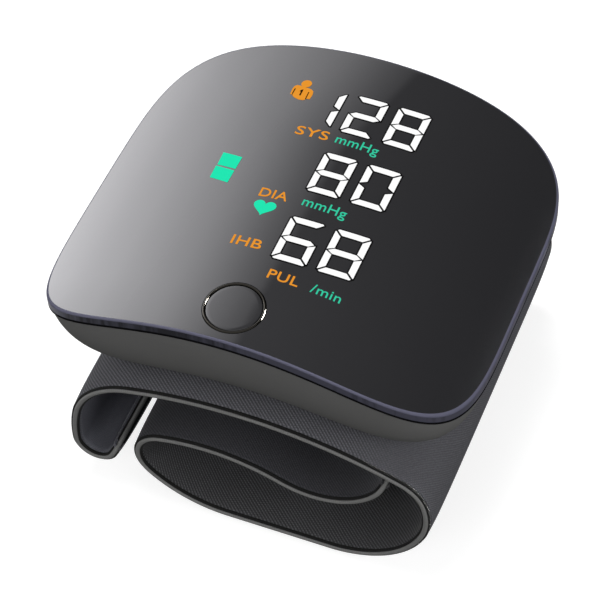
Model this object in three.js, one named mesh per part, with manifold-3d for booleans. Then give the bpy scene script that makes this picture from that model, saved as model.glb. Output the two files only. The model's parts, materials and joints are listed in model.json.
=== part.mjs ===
// Wrist blood pressure monitor: an arched glossy display unit on a spring-curled cloth cuff.
// Millimetres, +Z up. The origin is on the ground, under the middle of the lens. The display
// faces up, its lettering reads along +X, and the start button is on the -Y side.

import * as THREE from "three";
import { mergeVertices } from "three/addons/utils/BufferGeometryUtils.js";
import Module from "manifold-3d";

const wasm = await Module();
wasm.setup();

const degree = Math.PI / 180;

// Clearances
const gap = 0.3; // between pieces that touch on the real object
const buttonGap = 0.2; // round the start button
const overrun = 2; // how far a cutting tool passes the face that it cuts

// Lens
const lensWidth = 80;
const lensDepth = 70.2;
const lensThickness = 2.2;
const lensArchRadius = 66;
const lensCrownRadius = 830;
const lensBevel = 0.7;
const cornerPower = 5; // exponent of the rounded-square outline

// Display unit
const unitHeight = 21.1; // cloth to the top of the lens
const rimInset = 0.3; // lens edge to the top edge of the bowl
const bowlInsetX = 5.5; // how far the bowl draws in from rim to foot
const bowlInsetY = 4.6;
const bowlSweep = 80; // degrees of the quarter round that its side follows
const wall = 1.3;
const floorThickness = 1.6;
const frameThickness = 1.5;
const skirtThickness = 0.9;
const skirtInset = 0.8; // outline of the frame to the outside of its skirt
const skirtDepth = 3;

// Screws that hold the frame to the bowl
const screwInsetX = 15; // from the side of the lens
const screwInsetY = 8.7;
const bossRadius = 3;
const bossSplitHeight = 38; // above the ground
const screwHeadRadius = 1.9;
const screwHeadHeight = 1.4;
const screwHeadSink = 1;
const screwShankRadius = 0.9;
const screwLength = 12;

// Circuit board and what it carries
const boardSideRoom = 1; // board edge to the screw posts
const boardFrontInset = 4.1; // from the front edge of the lens
const boardRearInset = 5.6;
const boardThickness = 1.2;
const boardTopBelowLens = 8.8;
const buzzerRadius = 4.5;
const buzzerHeight = 2.4;
const buzzerX = -4;
const buzzerY = 16;
const sensorSize = 7;
const sensorHeight = 2.6;
const sensorBarbRadius = 1.2;
const sensorBarbLength = 1.4;

// Light guide with the wells of the numerals
const guideWidth = 36;
const guideDepth = 50;
const guideX = -1;
const guideY = 3;
const guideHeight = 2.4;
const digitHeight = 9.5;
const digitWidth = 5.9;
const digitPitch = 7.9;
const digitRightX = 14.4;
const digitTopY = [25.1, 9.8, -6.2];
const digitCount = 3;
const strokeWidth = 1.05;
const strokeMitre = 0.16;

// Start button
const buttonX = -1;
const buttonInset = 7.1; // middle of the button to the front edge of the lens
const buttonRadius = 4.75;
const ringRadius = 5.25;
const ringWall = 0.3;
const buttonStemRadius = 3.2;
const buttonFlangeRadius = 3.9;
const buttonFlangeHeight = 0.8;
const buttonTravel = 0.8;
const switchSize = 6;
const switchBodyHeight = 1.1;
const plungerRadius = 1.6;

// Dry cells, side by side along the left side
const cellRadius = 5.2;
const cellLength = 43.7;
const cellTipRadius = 1.9;
const cellTipLength = 0.8;
const cellInset = 10.5; // middle of the outer cell to the side of the lens
const cellPitch = 11.2;
const contactThickness = 0.5;
const contactWidth = 7;
const bayRibThickness = 1.2;
const cradleY = 11;
const cradleShare = 0.8; // of the cell's radius, to either side of its middle
const bayWallRoom = 1.3; // inner cell to the bay's wall

// Battery door, the left end of the bowl, which comes off outwards and down
const doorEndRoom = 1.7; // middle of a tab to the end of the door
const doorReach = 7; // how far the cut reaches in from the side of the lens
const doorSlope = 38; // degrees below level
const doorTabWidth = 1.1;
const doorTabThickness = 1.4;
const doorTabLength = 4.6;
const doorTabHeight = 33;
const doorTabInset = 4; // from the side of the lens to the root of the tabs
const gripHalfWidth = 9;
const gripThickness = 0.9;
const gripProud = 0.3;
const gripPitch = 2.2;
const gripCount = 3;
const gripHeight = 35.6;

// Air system
const pumpRadius = 4.4;
const pumpMotorLength = 15;
const pumpMotorFrontY = -25;
const pumpHeadLength = 12;
const pumpHeadWidth = 8.8;
const pumpLobeShare = 1.12; // of half the head's width
const valveInset = 14; // from the side of the lens
const valveSize = 8.6;
const valveLength = 15;
const valveFrontY = -15.5;
const tubeRadius = 1.9;
const tubeBore = 0.9;
const tubeRunY = 12;
const nippleRoom = 1.7; // retainer plate to the nipple
const nippleRadius = 1.8;
const nippleHeight = 2.6;

// Cuff strip
const cuffThickness = 2.4;
const cuffWidth = 68;
const clothThickness = 0.65;
const insertThickness = 0.5;
const bindingWidth = 2.3;
const bindingRound = 0.55;
const hookThickness = 0.8;
const hookLength = 34;
const stiffenerHalfWidth = 28;
const bladderHalfWidth = 27;
const retainerHalfWidth = 20;
const retainerHalfLength = 15;
const studRadius = 1.5;
const studX = 10.5;
const studY = 14.5;

// Radii of the strip's middle line, from the seat under the unit outwards
const seatRadius = 80;
const shoulderRadius = 7;
const sideRadius = 14;
const kneeRadius = 18.5;
const footInset = 30.7; // how much shorter the flat foot is than the seat above it
const heelRiseRadius = 21;
const heelRadius = 6.5;
const tongueRadius = 33.5;
const valleyRadius = 16.5;
const tipRadius = 14.5;
const loopTopRadius = 15.5;
const loopSideRadius = 31;
const loopBottomRadius = 4;
const loopEndRadius = 36;

const seatTurnRight = 22; // degrees
const seatTurnLeft = 15;

const lensHalfWidth = lensWidth / 2;
const lensHalfDepth = lensDepth / 2;
const cuffHalfWidth = cuffWidth / 2;
const halfThickness = cuffThickness / 2;

const screwX = lensHalfWidth - screwInsetX;
const screwY = lensHalfDepth - screwInsetY;
const boardHalfWidth = screwX - bossRadius - boardSideRoom;
const boardFrontY = boardFrontInset - lensHalfDepth;
const boardRearY = lensHalfDepth - boardRearInset;
const buttonY = buttonInset - lensHalfDepth;
const cellOuterX = cellInset - lensHalfWidth;
const cellInnerX = cellOuterX + cellPitch;
const bayWallX = cellInnerX + cellRadius + bayWallRoom;
const doorDepthX = lensHalfWidth - doorReach;
const doorTabRoot = lensHalfWidth - doorTabInset;
const valveX = lensHalfWidth - valveInset;
const pumpX = (bayWallX + valveX) / 2;
const nippleX = retainerHalfLength + nippleRoom + nippleRadius;
const seatSpan = seatRadius * (Math.sin(seatTurnRight * degree) + Math.sin(seatTurnLeft * degree));
const footRun = seatSpan - footInset;

// Each bend turns the strip by so many degrees, and a negative turn bends it back
const rightBends = [
  { radius: seatRadius, turn: seatTurnRight },
  { radius: shoulderRadius, turn: 50 },
  { radius: sideRadius, turn: 18 },
  { radius: sideRadius, turn: 21 },
  { radius: kneeRadius, turn: 69 },
  { run: footRun },
  { radius: heelRiseRadius, turn: 45 },
  { radius: heelRadius, turn: 119 },
  { radius: tongueRadius, turn: 40 },
  { radius: valleyRadius, turn: -10 },
  { radius: tipRadius, turn: -92 },
];
const leftBends = [
  { radius: seatRadius, turn: seatTurnLeft },
  { radius: loopTopRadius, turn: 61 },
  { radius: loopSideRadius, turn: 15 },
  { radius: loopBottomRadius, turn: 143 },
  { radius: loopEndRadius, turn: 6 },
];
const bendsBeforeFold = 3; // the cuff opens where the third bend on the right ends
const stepAngle = 15; // degrees of bend for each flat of the strip
const stepLength = 8;

const rimSides = 56;
const bowlRows = 6;
const hollowRows = 4;
const cornerCrowding = 0.1; // how much closer together the outline's points lie at its corners
const rodSides = 16;
const roundSides = 28;
const thinRodSides = 10;
const thinRodRadius = 2.5; // rods thinner than this have fewer sides

// Solids and meshes

function solidOf(geometry) {
  const bare = geometry.clone();
  bare.deleteAttribute("normal");
  bare.deleteAttribute("uv");
  const merged = mergeVertices(bare, gap / 1000);
  return new wasm.Manifold(new wasm.Mesh({
    numProp: 3,
    vertProperties: new Float32Array(merged.attributes.position.array),
    triVerts: new Uint32Array(merged.index.array),
  }));
}

function geometryOf(solid) {
  const mesh = solid.getMesh();
  const geometry = new THREE.BufferGeometry();
  geometry.setAttribute("position", new THREE.BufferAttribute(mesh.vertProperties, 3));
  geometry.setIndex(new THREE.BufferAttribute(mesh.triVerts, 1));
  geometry.computeVertexNormals();
  return geometry;
}

const join = (...solids) => solids.reduce((whole, next) => whole.add(next));
const cut = (solid, ...tools) => tools.reduce((left, tool) => left.subtract(tool), solid);

// Closed skin over a row of rings, from a first single point to a last one.
function skin(rings) {
  const points = [];
  const triangles = [];
  const starts = rings.map((ring) => points.push(...ring) - ring.length);
  for (let i = 0; i + 1 < rings.length; i += 1) {
    const sides = Math.max(rings[i].length, rings[i + 1].length);
    for (let k = 0; k < sides; k += 1) {
      const low = [k, k + 1].map((n) => starts[i] + (n % rings[i].length));
      const high = [k, k + 1].map((n) => starts[i + 1] + (n % rings[i + 1].length));
      if (low[0] !== low[1]) triangles.push(low[0], low[1], high[0]);
      if (high[0] !== high[1]) triangles.push(low[1], high[1], high[0]);
    }
  }
  const geometry = new THREE.BufferGeometry().setFromPoints(points);
  geometry.setIndex(triangles);
  geometry.computeVertexNormals();
  return geometry;
}

function block(low, high) {
  const size = high.map((value, axis) => value - low[axis]);
  const geometry = new THREE.BoxGeometry(...size);
  geometry.translate(...low.map((value, axis) => value + size[axis] / 2));
  return solidOf(geometry);
}

const sidesOf = (radius) => (radius < thinRodRadius ? thinRodSides : rodSides);

// Round rod between two points.
function rod(radius, from, to, sides = sidesOf(radius)) {
  const start = new THREE.Vector3(...from);
  const along = new THREE.Vector3(...to).sub(start);
  const geometry = new THREE.CylinderGeometry(radius, radius, along.length(), sides);
  const up = new THREE.Vector3(0, 1, 0);
  const turn = new THREE.Quaternion().setFromUnitVectors(up, along.clone().normalize());
  geometry.applyQuaternion(turn);
  geometry.translate(...start.addScaledVector(along, 1 / 2).toArray());
  return solidOf(geometry);
}

// Turned piece whose profile is [radius, height] pairs, standing at a place.
function turned(profile, place, sides = thinRodSides) {
  const geometry = new THREE.LatheGeometry(profile.map((pair) => new THREE.Vector2(...pair)), sides);
  geometry.rotateX(Math.PI / 2);
  geometry.translate(...place);
  return solidOf(geometry);
}

// Surfaces of the unit

const arch = (radius, reach) => radius - Math.sqrt(radius * radius - reach * reach);

// The strip's middle line

function walk(bends, heading) {
  const stations = [{ x: 0, z: 0, heading, length: 0 }];
  const marks = [0];
  for (const bend of bends) {
    const from = stations[stations.length - 1];
    if (bend.run) {
      stations.push({
        x: from.x + bend.run * Math.cos(from.heading),
        z: from.z + bend.run * Math.sin(from.heading),
        heading: from.heading,
        length: from.length + bend.run,
      });
    } else {
      const side = heading === 0 ? -Math.sign(bend.turn) : Math.sign(bend.turn);
      const angle = Math.abs(bend.turn) * degree;
      const steps = Math.max(
        Math.ceil(Math.abs(bend.turn) / stepAngle),
        Math.ceil((bend.radius * angle) / stepLength),
      );
      const centreX = from.x - side * bend.radius * Math.sin(from.heading);
      const centreZ = from.z + side * bend.radius * Math.cos(from.heading);
      for (let i = 1; i <= steps; i += 1) {
        const turned = from.heading + (side * angle * i) / steps;
        stations.push({
          x: centreX + side * bend.radius * Math.sin(turned),
          z: centreZ - side * bend.radius * Math.cos(turned),
          heading: turned,
          length: from.length + (bend.radius * angle * i) / steps,
        });
      }
    }
    marks.push(stations[stations.length - 1].length);
  }
  return { stations, marks };
}

const rightWalk = walk(rightBends, 0);
const leftWalk = walk(leftBends, Math.PI);
const leftLength = leftWalk.marks[leftWalk.marks.length - 1];

// The foot of the cuff stands on the ground, so the seat is as high as the bends make it.
const footDrop = Math.min(...rightWalk.stations.map((station) => station.z));
const seatHeight = halfThickness - footDrop;

// Whole route from the loop's free end, over the seat, to the tip of the tongue.
const route = [
  ...leftWalk.stations.slice(1).reverse().map((station) => ({
    x: station.x,
    z: station.z + seatHeight,
    heading: station.heading - Math.PI,
    length: leftLength - station.length,
  })),
  ...rightWalk.stations.map((station) => ({
    x: station.x,
    z: station.z + seatHeight,
    heading: station.heading,
    length: leftLength + station.length,
  })),
];

function stationAt(length) {
  const after = Math.max(1, route.findIndex((station) => station.length >= length));
  const low = route[after - 1];
  const high = route[after];
  const share = (length - low.length) / (high.length - low.length);
  const mix = (key) => low[key] + (high[key] - low[key]) * share;
  return { x: mix("x"), z: mix("z"), heading: mix("heading"), length };
}

function stationsBetween(from, to) {
  const inside = route.filter((station) => station.length > from + gap && station.length < to - gap);
  return [stationAt(from), ...inside, stationAt(to)];
}

const offsetPoint = (station, offset) => [
  station.x - offset * Math.sin(station.heading),
  station.z + offset * Math.cos(station.heading),
];

const foldAt = leftLength + rightWalk.marks[bendsBeforeFold];
const fold = stationAt(foldAt);

// Distance from a point to the middle line of the strip's upper part.
function distanceToUpper([x, z]) {
  const stations = route.filter((station) => station.length <= foldAt + gap);
  return Math.min(...stations.slice(1).map((end, i) => {
    const start = stations[i];
    const [alongX, alongZ] = [end.x - start.x, end.z - start.z];
    const share = ((x - start.x) * alongX + (z - start.z) * alongZ) / (alongX ** 2 + alongZ ** 2);
    const held = Math.min(1, Math.max(0, share));
    return Math.hypot(x - start.x - alongX * held, z - start.z - alongZ * held);
  }));
}

// The tongue stops short of the lining above it.
function tongueEnd() {
  const total = route[route.length - 1].length;
  const step = gap / 10;
  const clears = (length) => [-halfThickness, halfThickness].every((offset) => (
    distanceToUpper(offsetPoint(stationAt(length), offset)) >= halfThickness + 2 * gap
  ));
  let length = leftLength + rightWalk.marks[rightWalk.marks.length - 2];
  while (length + step < total && clears(length + step)) length += step;
  return length;
}

const stripEnd = tongueEnd();
const seatStart = leftLength - leftWalk.marks[1];

// Strip of cloth or sheet between two lengths of the route and two offsets from its middle line.
function strip(from, to, low, high, halfWidth) {
  const stations = stationsBetween(from, to);
  const edge = [
    ...stations.map((station) => offsetPoint(station, low)),
    ...stations.reverse().map((station) => offsetPoint(station, high)),
  ];
  const shape = new THREE.Shape(edge.map((point) => new THREE.Vector2(...point)));
  const geometry = new THREE.ExtrudeGeometry(shape, { depth: 2 * halfWidth, bevelEnabled: false });
  geometry.rotateX(Math.PI / 2);
  geometry.translate(0, halfWidth, 0);
  return solidOf(geometry);
}

// Rounded edge tape along one side of the strip.
function edgeTape(from, to, side) {
  const middleY = side * (cuffHalfWidth - bindingWidth / 2);
  const halfWidth = bindingWidth / 2;
  const outline = [
    [-halfWidth, -halfThickness],
    [halfWidth - bindingRound, -halfThickness],
    [halfWidth, bindingRound - halfThickness],
    [halfWidth, halfThickness - bindingRound],
    [halfWidth - bindingRound, halfThickness],
    [-halfWidth, halfThickness],
  ];
  const section = side > 0 ? outline : outline.map(([across, offset]) => [-across, offset]).reverse();
  const place = (station, across, offset) => {
    const [x, z] = offsetPoint(station, offset);
    return new THREE.Vector3(x, middleY + across, z);
  };
  const stations = stationsBetween(from, to);
  const rings = stations.map((station) => section.map((pair) => place(station, ...pair)));
  const ends = [stations[0], stations[stations.length - 1]].map((station) => [place(station, 0, 0)]);
  return solidOf(skin([ends[0], ...rings, ends[1]]));
}

// Edge tape down both sides of a stretch, joined across its free end.
function binding(from, to, endFrom, endTo) {
  const bar = strip(endFrom, endTo, -halfThickness, halfThickness, cuffHalfWidth - bindingWidth / 2);
  return join(edgeTape(from, to, 1), edgeTape(from, to, -1), bar);
}

// Heights that the unit is built on

const clothTop = (x) => seatHeight - seatRadius + Math.sqrt((seatRadius + halfThickness) ** 2 - x * x);
const caseBottom = (x) => clothTop(x) + gap;
const caseFloor = (x) => caseBottom(x) + floorThickness;
const lensApex = clothTop(0) + unitHeight;
const lensTop = (x, y) => lensApex - arch(lensArchRadius, x) - arch(lensCrownRadius, y);
const lensUnderside = (x, y) => lensTop(x, y) - lensThickness;
const frameTop = (x, y) => lensUnderside(x, y) - gap;
const frameUnderside = (x, y) => frameTop(x, y) - frameThickness;
const floorRadius = seatRadius + halfThickness + gap + floorThickness;
const boardTop = lensApex - boardTopBelowLens;
const boardUnderside = boardTop - boardThickness;

// Height of the middle of a round thing that lies along Y on the arched floor.
function restingHeight(x, radius) {
  return seatHeight - seatRadius + Math.sqrt((floorRadius + radius + gap) ** 2 - x * x);
}

// Ring of the rounded-square outline, laid on a surface.
function rim(halfX, halfY, share, heightAt) {
  return Array.from({ length: rimSides }, (_, k) => {
    const even = (2 * Math.PI * k) / rimSides;
    const angle = even + cornerCrowding * Math.sin(4 * even);
    const across = Math.abs(Math.cos(angle) / halfX) ** cornerPower;
    const along = Math.abs(Math.sin(angle) / halfY) ** cornerPower;
    const reach = share / (across + along) ** (1 / cornerPower);
    const x = reach * Math.cos(angle);
    const y = reach * Math.sin(angle);
    return new THREE.Vector3(x, y, heightAt(x, y));
  });
}

const faceShares = [0.25, 0.5, 0.75];
const face = (halfX, halfY, heightAt) => [
  [new THREE.Vector3(0, 0, heightAt(0, 0))],
  ...faceShares.map((share) => rim(halfX, halfY, share, heightAt)),
];

// Plate of the unit's outline between two surfaces, with an optional bevel round its top edge.
function plate(halfX, halfY, underside, top, bevel = 0) {
  const rings = [
    ...face(halfX, halfY, underside),
    rim(halfX, halfY, 1, underside),
    rim(halfX, halfY, 1, (x, y) => top(x, y) - bevel),
  ];
  if (bevel > 0) rings.push(rim(halfX - bevel, halfY - bevel, 1, top));
  const cap = face(halfX - bevel, halfY - bevel, top).reverse();
  return solidOf(skin([...rings, ...cap]));
}

// Bowl whose side follows part of a quarter round from rim to foot. A grown bowl is larger all round.
function bowl(grow, topAt, footAt, rowCount = bowlRows) {
  const sweep = bowlSweep * degree;
  const rows = Array.from({ length: rowCount + 1 }, (_, i) => {
    const angle = (sweep * i) / rowCount;
    const drawn = (1 - Math.cos(angle)) / (1 - Math.cos(sweep));
    const fall = Math.sin(angle) / Math.sin(sweep);
    return {
      halfX: lensHalfWidth - rimInset - bowlInsetX * drawn + grow,
      halfY: lensHalfDepth - rimInset - bowlInsetY * drawn + grow,
      heightAt: (x, y) => topAt(x, y) + (footAt(x, y) - topAt(x, y)) * fall,
    };
  });
  const foot = rows[rowCount];
  const mouth = rows[0];
  return solidOf(skin([
    ...face(foot.halfX, foot.halfY, footAt),
    ...rows.reverse().map((row) => rim(row.halfX, row.halfY, 1, row.heightAt)),
    ...face(mouth.halfX, mouth.halfY, topAt).reverse(),
  ]));
}

// Places shared by the case, its screws and its contents

const corners = [[-1, -1], [1, -1], [1, 1], [-1, 1]];
const screwPlaces = corners.map(([sideX, sideY]) => [sideX * screwX, sideY * screwY]);
const studPlaces = corners.map(([sideX, sideY]) => [sideX * studX, sideY * studY]);
const cells = [cellInnerX, cellOuterX].map((x) => ({ x, z: restingHeight(x, cellRadius) }));
const contactY = cellLength / 2 + cellTipLength + gap;
const bayRibY = contactY + contactThickness + gap;
const doorTabY = bayRibY + bayRibThickness + gap + doorTabWidth / 2;
const doorHalfWidth = doorTabY + doorEndRoom;
const high = lensApex + overrun;
const bayRoom = block([-lensWidth, -bayRibY, 0], [bayWallX, bayRibY, high]);

// Display unit

function frontLens() {
  const body = plate(lensHalfWidth, lensHalfDepth, lensUnderside, lensTop, lensBevel);
  const hole = rod(ringRadius + gap / 2, [buttonX, buttonY, 0], [buttonX, buttonY, high], roundSides);
  return cut(body, hole);
}

function upperFrame() {
  const halfX = lensHalfWidth - rimInset - wall - gap;
  const halfY = lensHalfDepth - rimInset - wall - gap;
  const skirtX = halfX - skirtInset;
  const skirtY = halfY - skirtInset;
  const skirtFoot = (x, y) => frameUnderside(x, y) - skirtDepth;
  const middle = (x, y) => frameTop(x, y) - frameThickness / 2;
  const deck = plate(halfX, halfY, frameUnderside, frameTop);
  const hollow = plate(
    skirtX - skirtThickness,
    skirtY - skirtThickness,
    (x, y) => skirtFoot(x, y) - overrun,
    (x, y) => middle(x, y) + overrun,
  );
  const skirt = cut(plate(skirtX, skirtY, skirtFoot, middle), hollow, doorZone(gap));
  const window = block(
    [guideX - guideWidth / 2 - gap, guideY - guideDepth / 2 - gap, 0],
    [guideX + guideWidth / 2 + gap, guideY + guideDepth / 2 + gap, high],
  );
  const stemHole = rod(buttonStemRadius + gap, [buttonX, buttonY, 0], [buttonX, buttonY, high]);
  const flangeRoom = rod(
    buttonFlangeRadius + gap,
    [buttonX, buttonY, 0],
    [buttonX, buttonY, frameUnderside(buttonX, buttonY)],
  );
  const underDeck = plate(skirtX, skirtY, () => 0, middle);
  const posts = screwPlaces.map(([x, y]) => (
    cut(rod(bossRadius, [x, y, bossSplitHeight + gap], [x, y, high]).intersect(underDeck), bayRoom)
  ));
  const pilots = screwPlaces.map(([x, y]) => {
    const top = screwTop(x) + gap;
    return rod(screwShankRadius + gap, [x, y, 0], [x, y, top]);
  });
  return cut(join(deck, skirt, ...posts), window, stemHole, flangeRoom, ...pilots);
}

const screwSeat = (x) => caseBottom(x) + screwHeadSink;
const screwTop = (x) => screwSeat(x) + screwHeadHeight + screwLength;

function caseShell() {
  const outside = bowl(0, frameTop, caseBottom);
  const inside = bowl(-wall, (x, y) => frameTop(x, y) + overrun, caseFloor, hollowRows);
  return { outside, inside, shell: cut(outside, inside) };
}

const { outside: bowlSolid, inside: bowlHollow, shell: bowlShell } = caseShell();

function doorZone(clearance) {
  return block(
    [-lensWidth, -doorHalfWidth - clearance, 0],
    [clearance - doorDepthX, doorHalfWidth + clearance, high],
  );
}

// Tab of the door, or with a clearance the room that it takes on its way out.
function doorTab(side, clearance) {
  const middle = side * doorTabY;
  const reach = doorTabWidth / 2 + clearance;
  const drop = clearance > 0 ? doorTabLength * Math.tan(doorSlope * degree) : 0;
  return block(
    [-doorTabRoot, middle - reach, doorTabHeight - clearance - drop],
    [doorTabLength - doorTabRoot + clearance, middle + reach, doorTabHeight + doorTabThickness + clearance],
  );
}

function lowerCase() {
  const bosses = screwPlaces.map(([x, y]) => (
    cut(rod(bossRadius, [x, y, 0], [x, y, bossSplitHeight]), bayRoom)
  ));
  const bayRibs = [-1, 1].map((side) => block(
    [-doorDepthX, Math.min(side * bayRibY, side * (bayRibY + bayRibThickness)), 0],
    [bayWallX, Math.max(side * bayRibY, side * (bayRibY + bayRibThickness)), bossSplitHeight],
  ));
  const bayWall = block(
    [bayWallX, -bayRibY - bayRibThickness, 0],
    [bayWallX + bayRibThickness, bayRibY + bayRibThickness, cells[0].z],
  );
  const cradles = [-1, 1].flatMap((side) => cells.map(({ x, z }) => block(
    [x - cellRadius * cradleShare, side * cradleY - bayRibThickness / 2, 0],
    [x + cellRadius * cradleShare, side * cradleY + bayRibThickness / 2, z - cellRadius / 2],
  )));
  const cellRoom = cells.map(({ x, z }) => rod(
    cellRadius + gap,
    [x, -bayRibY, z],
    [x, bayRibY, z],
    roundSides,
  ));
  const ribs = join(...bosses, ...bayRibs, bayWall, ...cradles.map((cradle) => cut(cradle, ...cellRoom)));
  const body = cut(join(bowlShell, ribs.intersect(bowlSolid)), doorZone(gap));
  const headHoles = screwPlaces.map(([x, y]) => rod(
    screwHeadRadius + gap,
    [x, y, 0],
    [x, y, screwSeat(x) + screwHeadHeight + gap],
  ));
  const shankHoles = screwPlaces.map(([x, y]) => rod(screwShankRadius + gap, [x, y, 0], [x, y, high]));
  const studHoles = studPlaces.map(([x, y]) => rod(studRadius + gap, [x, y, 0], [x, y, high]));
  const nippleHole = rod(nippleRadius + gap, [nippleX, tubeRunY, 0], [nippleX, tubeRunY, high]);
  const tabRooms = [-1, 1].map((side) => doorTab(side, gap));
  return cut(body, ...headHoles, ...shankHoles, ...studHoles, nippleHole, ...tabRooms);
}

function batteryDoor() {
  const panel = bowlShell.intersect(doorZone(0));
  const proud = bowl(gripProud, frameTop, caseBottom);
  const grips = Array.from({ length: gripCount }, (_, i) => {
    const middle = gripHeight + (i - (gripCount - 1) / 2) * gripPitch;
    return block(
      [-lensWidth, -gripHalfWidth, middle - gripThickness / 2],
      [-doorDepthX, gripHalfWidth, middle + gripThickness / 2],
    ).intersect(cut(proud, bowlHollow));
  });
  const tabs = [-1, 1].map((side) => doorTab(side, 0).intersect(bowlSolid));
  return join(panel, ...grips, ...tabs);
}

function caseScrew([x, y]) {
  const profile = [
    [0, 0],
    [screwHeadRadius, 0],
    [screwHeadRadius, screwHeadHeight],
    [screwShankRadius, screwHeadHeight],
    [screwShankRadius, screwHeadHeight + screwLength],
    [0, screwHeadHeight + screwLength],
  ];
  return turned(profile, [x, y, screwSeat(x)]);
}

// Board, display and button

function mainBoard() {
  return block(
    [-boardHalfWidth, boardFrontY, boardUnderside],
    [boardHalfWidth, boardRearY, boardTop],
  );
}

// The seven strokes of a numeral, as outlines in a box of its width and height.
function strokeOutlines() {
  const half = strokeWidth / 2;
  const left = half;
  const right = digitWidth - half;
  const rows = [half, digitHeight / 2, digitHeight - half];
  const lying = (y) => [
    [left + strokeMitre, y],
    [left + strokeMitre + half, y - half],
    [right - strokeMitre - half, y - half],
    [right - strokeMitre, y],
    [right - strokeMitre - half, y + half],
    [left + strokeMitre + half, y + half],
  ];
  const standing = (x, low, top) => [
    [x, low + strokeMitre],
    [x + half, low + strokeMitre + half],
    [x + half, top - strokeMitre - half],
    [x, top - strokeMitre],
    [x - half, top - strokeMitre - half],
    [x - half, low + strokeMitre + half],
  ];
  return [
    ...rows.map(lying),
    ...[left, right].flatMap((x) => [standing(x, rows[0], rows[1]), standing(x, rows[1], rows[2])]),
  ];
}

function lightGuide() {
  const low = boardTop + gap;
  const slab = block(
    [guideX - guideWidth / 2, guideY - guideDepth / 2, low],
    [guideX + guideWidth / 2, guideY + guideDepth / 2, low + guideHeight],
  );
  const depth = guideHeight + 2 * overrun;
  const wells = digitTopY.flatMap((top) => Array.from({ length: digitCount }, (_, n) => {
    const x = digitRightX - digitWidth - n * digitPitch;
    return strokeOutlines().map((outline) => {
      const shape = new THREE.Shape(outline.map((point) => new THREE.Vector2(...point)));
      const well = new THREE.ExtrudeGeometry(shape, { depth, bevelEnabled: false });
      well.translate(x, top - digitHeight, low - overrun);
      return solidOf(well);
    });
  }));
  return cut(slab, ...wells.flat());
}

const buttonTop = lensTop(buttonX, buttonY);
const stemFoot = frameUnderside(buttonX, buttonY) - gap - buttonFlangeHeight;

function startButton() {
  const top = buttonTop - stemFoot;
  const capFoot = lensUnderside(buttonX, buttonY) - stemFoot + gap + buttonTravel;
  const profile = [
    [0, 0],
    [buttonFlangeRadius, 0],
    [buttonFlangeRadius, buttonFlangeHeight],
    [buttonStemRadius, buttonFlangeHeight],
    [buttonStemRadius, capFoot],
    [buttonRadius, capFoot],
    [buttonRadius, top - buttonGap],
    [buttonRadius - buttonGap, top],
    [0, top],
  ];
  return turned(profile, [buttonX, buttonY, stemFoot], roundSides);
}

function buttonRing() {
  const low = lensUnderside(buttonX, buttonY);
  const inner = ringRadius - ringWall;
  const profile = [[inner, 0], [ringRadius, 0], [ringRadius, lensThickness], [inner, lensThickness], [inner, 0]];
  return turned(profile, [buttonX, buttonY, low], roundSides);
}

function buttonSwitch() {
  const half = switchSize / 2;
  const low = boardTop + gap;
  const body = block(
    [buttonX - half, buttonY - half, low],
    [buttonX + half, buttonY + half, low + switchBodyHeight],
  );
  const tip = stemFoot - buttonTravel - gap;
  const plunger = rod(plungerRadius, [buttonX, buttonY, low + gap], [buttonX, buttonY, tip]);
  return join(body, plunger);
}

function buzzer() {
  const top = boardUnderside - gap;
  return rod(buzzerRadius, [buzzerX, buzzerY, top - buzzerHeight], [buzzerX, buzzerY, top]);
}

// Air system

const pumpZ = restingHeight(pumpX, pumpRadius);
const pumpHeadFrontY = pumpMotorFrontY + pumpMotorLength + gap;
const pumpHeadRearY = pumpHeadFrontY + pumpHeadLength;
const valveRearY = valveFrontY + valveLength;
const sensorLow = boardUnderside - gap - sensorHeight;
const tubeHeight = sensorLow - sensorBarbLength - tubeRadius;

function pumpMotor() {
  return rod(pumpRadius, [pumpX, pumpMotorFrontY, pumpZ], [pumpX, pumpMotorFrontY + pumpMotorLength, pumpZ]);
}

function pumpHead() {
  const half = pumpHeadWidth / 2;
  const body = block([pumpX - half, pumpHeadFrontY, pumpZ - half], [pumpX + half, pumpHeadRearY, pumpZ + half]);
  const lobes = rod(half * pumpLobeShare, [pumpX, pumpHeadFrontY, pumpZ], [pumpX, pumpHeadRearY, pumpZ])
    .intersect(block(
      [pumpX - pumpHeadWidth, pumpHeadFrontY, pumpZ - half],
      [pumpX + pumpHeadWidth, pumpHeadRearY, pumpZ + half],
    ));
  return join(body, lobes);
}

function releaseValve() {
  const half = valveSize / 2;
  const low = caseFloor(valveX - half) + gap;
  return block([valveX - half, valveFrontY, low], [valveX + half, valveRearY, low + valveSize]);
}

function pressureSensor() {
  const half = sensorSize / 2;
  const body = block(
    [pumpX - half, tubeRunY - half, sensorLow],
    [pumpX + half, tubeRunY + half, sensorLow + sensorHeight],
  );
  const barb = rod(
    sensorBarbRadius,
    [pumpX, tubeRunY, sensorLow - sensorBarbLength],
    [pumpX, tubeRunY, sensorLow + gap],
  );
  return join(body, barb);
}

const nippleTop = caseFloor(nippleX) + nippleHeight;

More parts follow.
